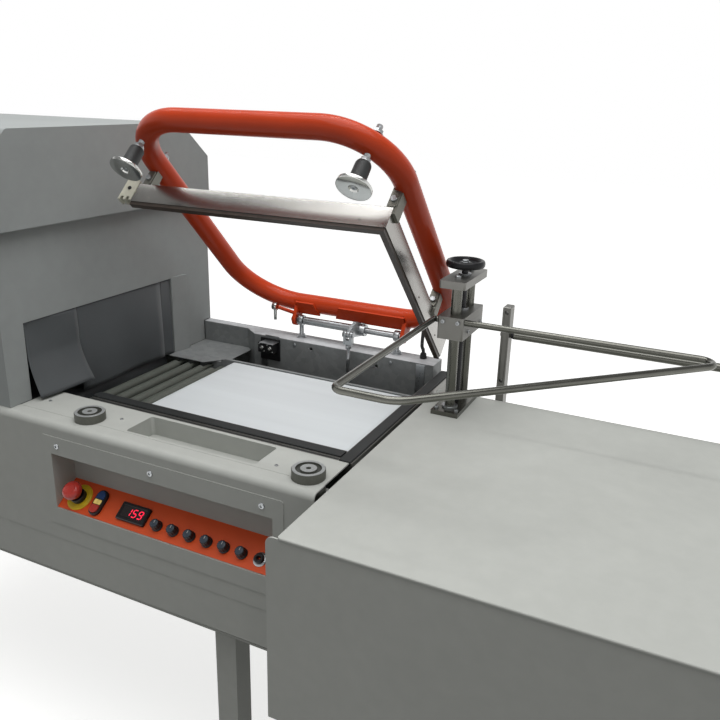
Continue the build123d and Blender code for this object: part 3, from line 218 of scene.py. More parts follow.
class SealerFinish(bpy.types.PropertyGroup):
    """Colours of the sealer's finishes."""

    cabinet: swatch("Powder coat", "Cabinet, table and stand", "#b6b8b3")
    tunnel: swatch("Tunnel coat", "Tunnel, hood and louvres", "#9da1a0")
    arm: swatch("Arm enamel", "Gloss enamel of the sealing arm and its lugs", "#bb3e1b")
    panel: swatch("Panel lacquer", "Sloping control panel", "#e2541f")
    stainless: swatch("Stainless steel", "Covers of the seal bars", "#a5a39f")
    galvanised: swatch("Galvanised sheet", "Rear rail, belt bed and dead plate", "#868989")
    chrome: swatch("Chrome plate", "Strike discs and switch striker", "#cdcecb")
    ground: swatch("Ground steel", "Guide columns and inverter rod", "#6d6d67")
    dull: swatch("Bare steel", "Hangers of the seal bars", "#7b7b73")
    aluminium: swatch("Aluminium", "Slide block, plates and film posts", "#84837f")
    zinc: swatch("Zinc plate", "Shaft, levers, posts, nuts and screws", "#a9acae")
    rubber: swatch("Silicone rubber", "Seal pads and strike bushes", "#232525")
    belt: swatch("Belt cover", "Conveyor belt", "#d6dbdd")
    sleeve: swatch("Roller sleeve", "Transfer rollers", "#575b54")
    plastic: swatch("Black plastic", "Control fittings, knobs and caps", "#1a1a1c")
    knob_cap: swatch("Knob cap", "Inlaid tops of the timer knobs", "#414c58")
    stop_red: swatch("Stop red", "Emergency stop and stop key", "#c23d34")
    ring_yellow: swatch("Ring yellow", "Collar of the emergency stop", "#d9b820")
    start_blue: swatch("Start blue", "Start key", "#27487c")
    lamp: swatch("Lamp lens", "Pilot lamp between the keys", "#e3c670")
    digits: swatch("Display digits", "Lit segments of the display", "#ff2548")
    cloth: swatch("Curtain cloth", "Coated glass cloth of the tunnel curtains", "#4d5153")
    ceramic: swatch("Terminal block", "Cream block at the end of the front bar", "#bdbbab")
    magnet: swatch("Magnet body", "Sides of the electromagnets", "#565750")
    liner: swatch("Bar facing", "Coated facing under the seal bars", "#3a3029")


class SealerSizes(bpy.types.PropertyGroup):
    """Small sizes of the dressed pieces."""

    edge: FloatProperty(name="Edge radius", description="Softened edges of folded sheet",
                        default=0.0012, min=0.0, max=0.005, unit="LENGTH", precision=4)
    thread_depth: FloatProperty(name="Thread depth", description="Depth of the cut threads",
                                default=0.0007, min=0.0, max=0.003, unit="LENGTH", precision=4)
    knob_flutes: IntProperty(name="Knob flutes", description="Grip flutes round each timer knob",
                             default=12, min=6, max=24)
    curtain_wave: FloatProperty(name="Curtain wave", description="How far the hung strips wave",
                                default=0.004, min=0.0, max=0.01, unit="LENGTH", precision=4)
    reading: StringProperty(name="Display reading", description="Three digits on the display",
                            default="159")


class SealerStage(bpy.types.PropertyGroup):
    """Camera and light."""

    lens: FloatProperty(name="Lens", description="Focal length on a 36 mm sensor", default=38.15,
                        min=10.0, max=200.0, unit="CAMERA")
    key_power: FloatProperty(name="Overhead power", description="Power of the overhead softbox in watts",
                             default=59.0, min=0.0, max=500.0)
    sky_top: FloatProperty(name="Sky overhead", description="Sky strength straight up", default=0.62,
                           min=0.0, max=5.0)
    ceiling: FloatProperty(name="Ceiling", description="Brightness of the ceiling in reflections",
                           default=0.3, min=0.0, max=1.0)
    strip_power: FloatProperty(name="Strip power", description="Power of the narrow ceiling lamp in watts",
                               default=10.0, min=0.0, max=200.0)
    sky_side: FloatProperty(name="Sky at the side", description="Sky strength at the horizon", default=0.3,
                            min=0.0, max=5.0)


def tint(name):
    """Colour of one finish, as the user set it."""
    return tuple(getattr(bpy.context.scene.sealer_finish, name))


def start(name, sockets):
    """New material: its tree, its shader with constants set, and metre coordinates on the piece."""
    material = bpy.data.materials.new(name)
    material.use_nodes = True
    tree = material.node_tree
    shader = tree.nodes["Principled BSDF"]
    for socket, value in sockets.items():
        shader.inputs[socket].default_value = value
    place = add(tree, "ShaderNodeTexCoord").outputs["Object"]
    return material, tree, shader, place


def feed(tree, shader, sockets):
    """Link patterns to the shader's sockets."""
    for name, source in sockets.items():
        tree.links.new(source, shader.inputs[name])


# Patterns, which take their sizes in millimetres


def noise(tree, place, size, detail):
    """Noise with features of that many millimetres."""
    return add(tree, "ShaderNodeTexNoise", {"Vector": place, "Scale": per_mm(size),
                                            "Detail": detail}).outputs["Fac"]


def stretched(tree, place, sizes, detail):
    """Noise drawn out to three sizes in millimetres; an axis with none stays in metres."""
    scale = tuple(per_mm(size) if size else 1.0 for size in sizes)
    along = add(tree, "ShaderNodeMapping", {"Vector": place, "Scale": scale}).outputs[0]
    return add(tree, "ShaderNodeTexNoise", {"Vector": along, "Scale": 1.0, "Detail": detail}).outputs["Fac"]


def between(tree, factor, pair):
    """Colour that a pattern moves between two."""
    return add(tree, "ShaderNodeMix", {0: factor, 6: pair[0], 7: pair[1]}, data_type="RGBA").outputs[2]


def times(tree, colour, grey):
    """Colour multiplied by a grey pattern."""
    return add(tree, "ShaderNodeMix", {0: 1.0, 6: colour, 7: grey}, data_type="RGBA",
               blend_type="MULTIPLY").outputs[2]


def ranged(tree, value, low, high, from_low=0.0, from_high=1.0):
    """Pattern carried over from one range to another."""
    return add(tree, "ShaderNodeMapRange", {"Value": value, "From Min": from_low, "From Max": from_high,
                                            "To Min": low, "To Max": high}).outputs[0]


def bumped(tree, height, strength, distance):
    """Normal raised by a pattern, by a distance in metres."""
    return add(tree, "ShaderNodeBump", {"Height": height, "Strength": strength,
                                        "Distance": distance}).outputs["Normal"]


def above(tree, value, limit):
    """One where a value is over its limit."""
    return add(tree, "ShaderNodeMath", {0: value, 1: limit}, operation="GREATER_THAN").outputs[0]


def up_part(tree, vector):
    """Upward part of a vector."""
    return add(tree, "ShaderNodeSeparateXYZ", {"Vector": vector}).outputs["Z"]


# Finishes


def worn(name, sockets, patch, pair, gloss=None, grain=None):
    """Finish whose patches, a size in mm and a detail, vary colour and gloss over a fine grain."""
    material, tree, shader, place = start(name, sockets)
    wear = noise(tree, place, *patch)
    links = {"Base Color": between(tree, wear, pair)}
    if gloss:
        links["Roughness"] = ranged(tree, wear, *gloss)
    if grain:
        size, detail, strength, distance = grain
        links["Normal"] = bumped(tree, noise(tree, place, size, detail), strength, distance)
    feed(tree, shader, links)
    return material


def coated(name, colour):
    """Powder coat on folded sheet: satin, softly clouded, with a fine orange peel."""
    material, tree, shader, place = start(name, {"Specular IOR Level": 0.1})
    # Clouds of 300 mm keep large sheets from looking printed; a 1.5 mm peel is drawn at 4 mm to show
    cloud = noise(tree, place, 300, 3.0)
    peel = noise(tree, place, 4, 2.0)
    scuff = noise(tree, place, 28, 6.0)
    tone = between(tree, cloud, shades(colour, 0.93, 1.05))
    speck = ranged(tree, scuff, 0.97, 1.02, 0.35, 0.75)
    feed(tree, shader, {"Base Color": times(tree, tone, speck),
                        "Roughness": ranged(tree, scuff, 0.48, 0.64),
                        "Normal": bumped(tree, peel, 0.12, 0.0006)})
    return material


def powder_coat():
    """Pale warm grey coat of the cabinet: satin and clean."""
    return coated("powder_coat", tint("cabinet"))


def tunnel_coat():
    """Cooler, darker grey coat of the heated tunnel: satin, a little dulled."""
    return coated("tunnel_coat", tint("tunnel"))


def arm_enamel():
    """Sprayed enamel on steel tube: deep orange red under a wet gloss coat."""
    material, tree, shader, place = start("arm_enamel", {"Roughness": 0.34, "Specular IOR Level": 0.12,
                                                         "Coat Weight": 0.14, "Coat Roughness": 0.05})
    # Flow of the spray, about 60 mm, and an orange peel of 6 mm that ripples the highlights
    flow = noise(tree, place, 60, 2.0)
    ripple = bumped(tree, noise(tree, place, 6, 1.0), 0.1, 0.0008)
    feed(tree, shader, {"Base Color": between(tree, flow, shades(tint("arm"), 0.9, 1.08)),
                        "Normal": ripple, "Coat Normal": ripple})
    return material


def panel_lacquer():
    """Lacquered sheet of the control panel: flat orange with a low sheen and rubbed gloss."""
    return worn("panel_lacquer", {"Specular IOR Level": 0.45}, (40, 5.0), shades(tint("panel"), 0.93, 1.06),
                (0.36, 0.52), (1.5, 1.0, 0.08, 0.0003))


def brushed_stainless():
    """Brushed stainless sheet: fine lines along the bar that draw reflections out sideways."""
    material, tree, shader, place = start("brushed_stainless", {"Metallic": 1.0})
    # The bars lie level when the arm is down, so the grain is laid in the closed arm's own axes
    level = add(tree, "ShaderNodeMapping", {"Vector": place, "Rotation": (OPEN_ANGLE, 0.0, 0.0)}).outputs[0]
    # A 0.2 mm brush line is drawn at 0.8 mm to show, and runs 400 mm long
    line = stretched(tree, level, (400, 400, 0.8), 4.0)
    smear = noise(tree, place, 90, 3.0)
    feed(tree, shader, {"Base Color": between(tree, smear, shades(tint("stainless"), 0.9, 1.05)),
                        "Roughness": ranged(tree, line, 0.19, 0.28),
                        "Normal": bumped(tree, line, 0.05, 0.0003)})
    return material


def galvanised_sheet():
    """Galvanised sheet: cool dull grey with a soft spangle, and painted light: the rail's top flange is
    painted lighter, where the overhead light falls on it.
    """
    material, tree, shader, place = start("galvanised_sheet", {"Metallic": 0.1})
    # Spangles of 14 mm over clouds of 120 mm
    spangle = add(tree, "ShaderNodeTexVoronoi", {"Vector": place, "Scale": per_mm(14)})
    cloud = noise(tree, place, 120, 4.0)
    grey = add(tree, "ShaderNodeSeparateColor", {"Color": spangle.outputs["Color"]}).outputs["Red"]
    # Painted light: everything above the flange's top edge takes a lighter grey, standing in for the
    # overhead light on the flange
    painted_light_flange = above(tree, up_part(tree, place), at(0, 0, FLANGE_TOP - 1.5).z)
    tone = between(tree, cloud, shades(tint("galvanised"), 0.88, 1.12))
    top = between(tree, painted_light_flange, (tone, linear("#bcbec0")))
    feed(tree, shader, {"Base Color": times(tree, top, ranged(tree, grey, 0.9, 1.08)),
                        "Roughness": ranged(tree, cloud, 0.42, 0.6)})
    return material


def ground_steel():
    """Centreless ground steel rod: grey mirror, dulled by fine marks."""
    # Grinding marks of 0.5 mm are drawn at 2 mm to show
    return worn("ground_steel", {"Metallic": 1.0}, (60, 5.0), shades(tint("ground"), 0.7, 1.15),
                (0.16, 0.34), (2, 2.0, 0.08, 0.0003))


def bare_steel():
    """Bare hot-rolled steel of the hangers: dull dark grey with oily patches."""
    return worn("bare_steel", {"Metallic": 0.8}, (18, 6.0), shades(tint("dull"), 0.65, 1.2),
                (0.34, 0.6), (4, 3.0, 0.15, 0.0003))


def silicone_rubber():
    """Cured silicone rubber: near black and dull, with a faint bloom of dust."""
    return worn("silicone_rubber", {"Specular IOR Level": 0.35}, (45, 6.0),
                shades(tint("rubber"), 0.75, 1.7), (0.42, 0.66), (2, 2.0, 0.2, 0.0004))


def chrome_plate():
    """Chrome over ground steel: mirror bright with handling smears."""
    return worn("chrome_plate", {"Metallic": 1.0}, (35, 5.0), shades(tint("chrome"), 0.86, 1.08),
                (0.1, 0.26, 0.3, 0.75))


def milled_aluminium():
    """Milled aluminium: soft grey metal with cutter lines across each face."""
    material, tree, shader, place = start("milled_aluminium", {"Metallic": 1.0})
    # Cutter lines of 1.2 mm
    line = stretched(tree, place, (60, 60, 1.2), 3.0)
    cloud = noise(tree, place, 50, 4.0)
    feed(tree, shader, {"Base Color": between(tree, cloud, shades(tint("aluminium"), 0.8, 1.08)),
                        "Roughness": ranged(tree, line, 0.34, 0.54),
                        "Normal": bumped(tree, line, 0.2, 0.0004)})
    return material


def zinc_plate():
    """Bright zinc plate: cool silver, slightly cloudy, with small crystals in the light."""
    material, tree, shader, place = start("zinc_plate", {"Metallic": 1.0})
    crystal = add(tree, "ShaderNodeTexVoronoi", {"Vector": place, "Scale": per_mm(5)}).outputs["Distance"]
    cloud = noise(tree, place, 22, 4.0)
    feed(tree, shader, {"Base Color": between(tree, cloud, shades(tint("zinc"), 0.78, 1.12)),
                        "Roughness": ranged(tree, crystal, 0.24, 0.44)})
    return material


def belt_cover():
    """Coated belt fabric: cool white, matt, with the weave printing through and rubbed tracks."""
    material, tree, shader, place = start("belt_cover", {"Specular IOR Level": 0.35})
    # A 0.8 mm weave is drawn at 2.4 mm to show
    weave = add(tree, "ShaderNodeTexChecker", {"Vector": place, "Scale": per_mm(2.4)}).outputs["Fac"]
    rub = stretched(tree, place, (700, 40, None), 5.0)
    feed(tree, shader, {"Base Color": between(tree, rub, shades(tint("belt"), 0.9, 1.06)),
                        "Roughness": ranged(tree, rub, 0.42, 0.6),
                        "Normal": bumped(tree, weave, 0.05, 0.0003)})
    return material


def roller_sleeve():
    """Plastic sleeve on a transfer roller: olive grey, with turned rings and polished bands."""
    material, tree, shader, place = start("roller_sleeve", {"Specular IOR Level": 0.45})
    band = stretched(tree, place, (None, 9, None), 4.0)
    feed(tree, shader, {"Base Color": between(tree, band, shades(tint("sleeve"), 0.8, 1.15)),
                        "Roughness": ranged(tree, band, 0.3, 0.5)})
    return material


def moulded(name, colour, low_gloss, high_gloss):
    """Moulded ABS: even colour, a fine spark-eroded grain and finger-polished spots."""
    # A 0.3 mm grain is drawn at 1 mm to show
    return worn(name, {"Specular IOR Level": 0.35}, (14, 3.0), shades(colour, 0.85, 1.15),
                (low_gloss, high_gloss), (1, 1.0, 0.1, 0.0002))


def black_abs():
    """Black moulded plastic of the fittings: satin."""
    return moulded("black_abs", tint("plastic"), 0.32, 0.52)


def knob_abs():
    """Slate blue inlay of the knob tops: slightly glossier than the knob."""
    return moulded("knob_abs", tint("knob_cap"), 0.25, 0.42)


def red_abs():
    """Signal red plastic of the stop controls: polished mushroom."""
    return moulded("red_abs", tint("stop_red"), 0.16, 0.3)


def yellow_abs():
    """Yellow plastic collar: satin."""
    return moulded("yellow_abs", tint("ring_yellow"), 0.35, 0.5)


def blue_abs():
    """Blue plastic of the start key: satin."""
    return moulded("blue_abs", tint("start_blue"), 0.25, 0.4)


def white_mark():
    """White filled pointer line: matt."""
    return moulded("white_mark", linear("#d8d8d2"), 0.5, 0.6)


def wheel_phenolic():
    """Compression-moulded phenolic of the handwheel: black, polished in patches."""
    return worn("wheel_phenolic", {"Specular IOR Level": 0.22}, (18, 5.0),
                shades(tint("plastic"), 0.8, 1.5), (0.24, 0.4))


def lamp_lens():
    """Moulded lens of the pilot lamp: warm, milky and ribbed inside, faintly lit."""
    material, tree, shader, place = start("lamp_lens", {"Roughness": 0.25, "Emission Strength": 0.25})
    # A wave's scale counts in twentieths: ribs of 2 mm
    rib = add(tree, "ShaderNodeTexWave", {"Vector": place, "Scale": per_mm(2) / 20}).outputs["Fac"]
    tone = between(tree, rib, shades(tint("lamp"), 0.85, 1.1))
    feed(tree, shader, {"Base Color": tone, "Emission Color": tone})
    return material


def led_segment():
    """Lit bar of the display: saturated red, a little uneven."""
    material, tree, shader, place = start("led_segment", {"Roughness": 0.3, "Emission Strength": 1.3})
    tone = between(tree, noise(tree, place, 4, 2.0), shades(tint("digits"), 0.8, 1.0))
    feed(tree, shader, {"Base Color": tone, "Emission Color": tone})
    return material


def display_acrylic():
    """Smoked acrylic window: almost black, glossy, with a trace of red."""
    return worn("display_acrylic", {"IOR": 1.49, "Coat Weight": 0.3, "Coat Roughness": 0.05}, (20, 4.0),
                (linear("#140809"), linear("#1f0d0e")), (0.08, 0.2))


def glass_cloth():
    """Coated glass cloth: slate grey, slippery, with its weave showing as fine squares."""
    material, tree, shader, place = start("glass_cloth", {"Sheen Weight": 0.15, "Sheen Roughness": 0.4})
    # A 0.6 mm yarn is drawn at 2 mm to show
    weave = add(tree, "ShaderNodeTexChecker", {"Vector": place, "Scale": per_mm(2)}).outputs["Fac"]
    cloud = noise(tree, place, 80, 4.0)
    feed(tree, shader, {"Base Color": between(tree, cloud, shades(tint("cloth"), 0.8, 1.2)),
                        "Roughness": ranged(tree, cloud, 0.42, 0.6),
                        "Normal": bumped(tree, weave, 0.1, 0.0003)})
    return material


def steatite():
    """Pressed ceramic of the terminal block: cream, chalky, with scorched spots."""
    return worn("steatite", {"Specular IOR Level": 0.4}, (16, 5.0), shades(tint("ceramic"), 0.72, 1.12),
                None, (16, 5.0, 0.15, 0.0004))


def pot_magnet():
    """Pot magnet: painted sides, ground pole faces and dark resin in the ring between them."""
    material, tree, shader, place = start("pot_magnet", {"Specular IOR Level": 0.3})
    top = span("electromagnets")[1].z
    pole_line, paint_line, resin_line = (at(0, 0, top - depth).z for depth in (0.7, 1.6, 4.5))
    height = up_part(tree, place)
    grind = noise(tree, place, 3, 4.0)
    flat = above(tree, up_part(tree, add(tree, "ShaderNodeTexCoord").outputs["Normal"]), 0.5)
    painted = between(tree, grind, shades(tint("magnet"), 0.8, 1.15))
    resin = between(tree, flat, (painted, linear("#3b3c37")))
    ground = between(tree, grind, (linear("#878987"), linear("#b4b7b7")))
    feed(tree, shader, {"Base Color": between(tree, above(tree, height, pole_line), (resin, ground)),
                        "Metallic": ranged(tree, height, 0.1, 0.3, resin_line, paint_line),
                        "Roughness": ranged(tree, grind, 0.3, 0.5)})
    return material


def cable_sheath():
    """Extruded cable sheath: black and slightly waxy, in soft patches."""
    return worn("cable_sheath", {"Specular IOR Level": 0.45}, (9, 3.0),
                (linear("#161617"), linear("#29292b")), (0.34, 0.5))


def black_oxide():
    """Black oxide on socket screws: dark steel with a dry oil sheen."""
    return worn("black_oxide", {"Metallic": 0.85}, (5, 3.0), (linear("#262627"), linear("#48484a")),
                (0.32, 0.52))


def bar_facing():
    """Coated cloth tape under the seal bars: brown black, waxy, scorched in patches."""
    return worn("bar_facing", {"Specular IOR Level": 0.45}, (30, 5.0), shades(tint("liner"), 0.6, 1.5),
                (0.3, 0.5))


def look(finish):
    """The finish's material, made once."""
    return bpy.data.materials.get(finish.__name__) or finish()


# Mesh builders: all draw in millimetres, and a place turns them into metres


def stand(point, axis=(0.0, 0.0, 1.0), across=(1.0, 0.0, 0.0)):
    """Place of a piece: its own Z along axis, and its own X near across."""
    z = Vector(axis).normalized()
    guide = Vector(across)
    if abs(z.dot(guide.normalized())) > 0.99:
        guide = Vector((0.0, 1.0, 0.0))
    y = z.cross(guide).normalized()
    turn = Matrix((y.cross(z), y, z)).transposed().to_4x4()
    return Matrix.Translation(point) @ turn @ Matrix.Scale(MM, 4)


def spot(x, y, z, axis=(0.0, 0.0, 1.0), across=(1.0, 0.0, 0.0)):
    """Place on the machine, in its own millimetres."""
    return stand(at(x, y, z), axis, across)


def on_arm(x, y, z, axis=(0.0, 0.0, 1.0), across=(1.0, 0.0, 0.0)):
    """Place on the closed arm, swung up with it."""
    return stand(raised(x, y, z), raised_way(*axis), across)


def shifted(where, x, y, z):
    """Place moved along its own axes."""
    return where @ Matrix.Translation((x, y, z))


def skin(bm, rings, finish=0):
    """Faces between rings of points, and one over each end."""
    for low, high in zip(rings, rings[1:]):
        for step in range(len(low)):
            after = (step + 1) % len(low)
            bm.faces.new((low[step], low[after], high[after], high[step])).material_index = finish
    for end in (rings[0][::-1], rings[-1]):
        bm.faces.new(end).material_index = finish


def stacked(bm, loops, where, finish=0):
    """Solid through loops of (outline, height)."""
    skin(bm, [[bm.verts.new(where @ Vector((x, y, height))) for x, y in outline]
              for outline, height in loops], finish)


def turned(bm, outline, where, steps=32, shape=None, finish=0):
    """Turned form from radius and height; a form that leaves the axis at both ends closes on itself."""
    rings = []
    for index, (radius, height) in enumerate(outline):
        if radius == 0:
            rings.append([bm.verts.new(where @ Vector((0, 0, height)))])
            continue
        ring = []
        for step in range(steps):
            angle = 2 * math.pi * step / steps
            reach = radius * (shape(index, angle) if shape else 1.0)
            point = Vector((reach * math.cos(angle), reach * math.sin(angle), height))
            ring.append(bm.verts.new(where @ point))
        rings.append(ring)
    if outline[0][0] > 0 and outline[-1][0] > 0:
        rings.append(rings[0])
    for low, high in zip(rings, rings[1:]):
        for step in range(steps):
            after = (step + 1) % steps
            corners = (low[step % len(low)], low[after % len(low)], high[after % len(high)],
                       high[step % len(high)])
            face = bm.faces.new(list(dict.fromkeys(corners)))
            face.material_index = finish


def rounded(width, height, corner, steps=4):
    """Outline of a rectangle with round corners."""
    points = []
    for turn, (sx, sy) in enumerate(((1, 1), (-1, 1), (-1, -1), (1, -1))):
        cx = sx * (width / 2 - corner)
        cy = sy * (height / 2 - corner)
        for step in range(steps + 1):
            angle = math.pi / 2 * (turn + step / steps)
            points.append((cx + corner * math.cos(angle), cy + corner * math.sin(angle)))
    return points


def brick(bm, where, width, height, depth, edge=0.6, corner=1.0, finish=0):
    """Block with round corners and softened rims, drawn on its base."""
    inner = rounded(width - 2 * edge, height - 2 * edge, corner)
    outer = rounded(width, height, corner + edge)
    stacked(bm, [(inner, 0), (outer, edge), (outer, depth - edge), (inner, depth)], where, finish)


def swept(bm, points, radius, steps):
    """Round bar along points in metres."""
    rings = []
    side = None
    for index, point in enumerate(points):
        before = points[max(index - 1, 0)]
        after = points[min(index + 1, len(points) - 1)]
        way = (after - before).normalized()
        if side is None:
            side = way.orthogonal().normalized()
        side = (side - way * side.dot(way)).normalized()
        other = way.cross(side)
        ring = []
        for step in range(steps):
            angle = 2 * math.pi * step / steps
            spoke = side * math.cos(angle) + other * math.sin(angle)
            ring.append(bm.verts.new(point + spoke * radius * MM))
        rings.append(ring)
    skin(bm, rings)


def spline(knots, steps):
    """Smooth points through knots."""
    points = []
    ends = [knots[0] * 2 - knots[1]] + list(knots) + [knots[-1] * 2 - knots[-2]]
    for index in range(1, len(ends) - 2):
        a, b, c, d = ends[index - 1:index + 3]
        for step in range(steps):
            t = step / steps
            points.append(0.5 * (2 * b + (c - a) * t + (2 * a - 5 * b + 4 * c - d) * t * t
                                 + (3 * b - a - 3 * c + d) * t * t * t))
    points.append(knots[-1])
    return points


def threaded(bm, where, radius, low, high, pitch, steps=16, finish=0):
    """Rod with a helical thread between two heights."""
    depth = bpy.context.scene.sealer_sizes.thread_depth / MM
    rows = max(2, int((high - low) / pitch * 4))
    outline = [(0, low)]
    outline += [(radius, low + (high - low) * row / rows) for row in range(rows + 1)]
    outline.append((0, high))

    def ridge(index, angle):
        turn = outline[index][1] / pitch - angle / (2 * math.pi)
        return 1.0 - depth / radius * (0.5 + 0.5 * math.cos(2 * math.pi * turn))

    turned(bm, outline, where, steps, ridge, finish)


def six(sides_at):
    """Radius rule that makes the named rings of a turned form hexagonal."""
    def shape(index, angle):
        if index not in sides_at:
            return 1.0
        return math.cos(math.pi / 6) / math.cos(angle % (math.pi / 3) - math.pi / 6)
    return shape


def nut(bm, where, radius, height, finish=0):
    """Hexagon nut with chamfered corners, radius across the corners."""
    turned(bm, [(0, 0), (radius * 0.9, 0), (radius, height * 0.14), (radius, height * 0.86),
                (radius * 0.9, height), (0, height)], where, 6, finish=finish)


def button_screw(bm, where, radius, height):
    """Button head screw with a hexagon socket."""
    turned(bm, [(0, height * 0.35), (radius * 0.5, height * 0.35), (radius * 0.5, height),
                (radius * 0.66, height), (radius * 0.9, height * 0.72), (radius, height * 0.25),
                (radius, 0), (0, 0)], where, 24, six((1, 2)))


def cap_screw(bm, where, radius, height):
    """Socket cap screw."""
    turned(bm, [(0, height * 0.4), (radius * 0.52, height * 0.4), (radius * 0.52, height),
                (radius * 0.86, height), (radius, height * 0.88), (radius, 0), (0, 0)],
           where, 24, six((1, 2)))


def washer(bm, where, inner, outer, height):
    """Flat ring."""
    turned(bm, [(inner, 0), (outer - 0.3, 0), (outer, 0.3), (outer, height - 0.3), (outer - 0.3, height),
                (inner, height)], where, 28)


def piece(name, bm, body, finishes, crease=34.0):
    """Turn a drawn mesh into a piece with its finishes, riding on a body if one is named."""
    bmesh.ops.recalc_face_normals(bm, faces=bm.faces)
    mesh = bpy.data.meshes.new(name)
    bm.to_mesh(mesh)
    bm.free()
    mesh.polygons.foreach_set("use_smooth", [True] * len(mesh.polygons))
    mesh.set_sharp_from_angle(angle=math.radians(crease))
    for finish in finishes:
        mesh.materials.append(look(finish))
    obj = bpy.data.objects.new(name, mesh)
    bpy.context.scene.collection.objects.link(obj)
    if body:
        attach(obj, body)
    return obj


def bright(name, bm, body="frame"):
    """Piece of zinc plated hardware."""
    return piece(name, bm, body, [zinc_plate])


def black(name, bm, body="frame"):
    """Piece of black plastic."""
    return piece(name, bm, body, [black_abs])


def dress(finish, *nodes, edge=0.0):
    """Give solids a finish, and soften their edges by a radius in metres."""
    for node in nodes:
        obj = frame["nodes"][node]
        obj.data.materials.clear()
        obj.data.materials.append(look(finish))
        if edge:
            weld = obj.modifiers.new("weld", "WELD")
            weld.merge_threshold = 1e-6
            soft = obj.modifiers.new("edge", "BEVEL")
            soft.width = edge
            soft.segments = 2
            soft.limit_method = "ANGLE"
            soft.angle_limit = math.radians(50)
            soft.use_clamp_overlap = True
            soft.harden_normals = True


# Control panel: its knob row gives the slope, and the slope carries every control


def on_panel(x, rise=0.0):
    """Place on the sloping panel: x along the machine, rise up the slope from the knob row."""
    knob = JOINTS["knob_1_turn"]
    normal = Vector(knob["axis"])
    along = Vector((1.0, 0.0, 0.0))
    up = normal.cross(along)
    foot = Vector(knob["pos_m"])
    point = foot + along * (at(x, 0, 0).x - foot.x) + up * rise * MM
    return stand(point, normal, along)


def stadium(length, width, steps=12):
    """Outline with two half round ends, long along Y."""
    radius = width / 2
    reach = length / 2 - radius
    points = []
    for half, middle in ((0, reach), (1, -reach)):
        for step in range(steps + 1):
            angle = math.pi * (half + step / steps)
            points.append((radius * math.cos(angle), radius * math.sin(angle) + middle))
    return points


def digit_bars(bm, character, x, where):
    """Seven segment figure, 18 mm high and leaning a little."""
    wide, high, thick, lean = 9.0, 7.9, 2.1, 0.12
    spots = {"a": (0, high, 0), "b": (wide / 2, high / 2, 1), "c": (wide / 2, -high / 2, 1),
             "d": (0, -high, 0), "e": (-wide / 2, -high / 2, 1), "f": (-wide / 2, high / 2, 1),
             "g": (0, 0, 0)}
    for name in SEGMENTS[character]:
        cx, cy, upright = spots[name]
        length = (high if upright else wide) - 1.0
        half = length / 2
        cut = thick / 2
        outline = [(-half, 0), (-half + cut, -cut), (half - cut, -cut),
                   (half, 0), (half - cut, cut), (-half + cut, cut)]
        if upright:
            outline = [(-b, a) for a, b in outline]
        placed = [(x + cx + a + lean * (cy + b), cy + b) for a, b in outline]
        stacked(bm, [(placed, 6.5), (placed, 6.9)], where)


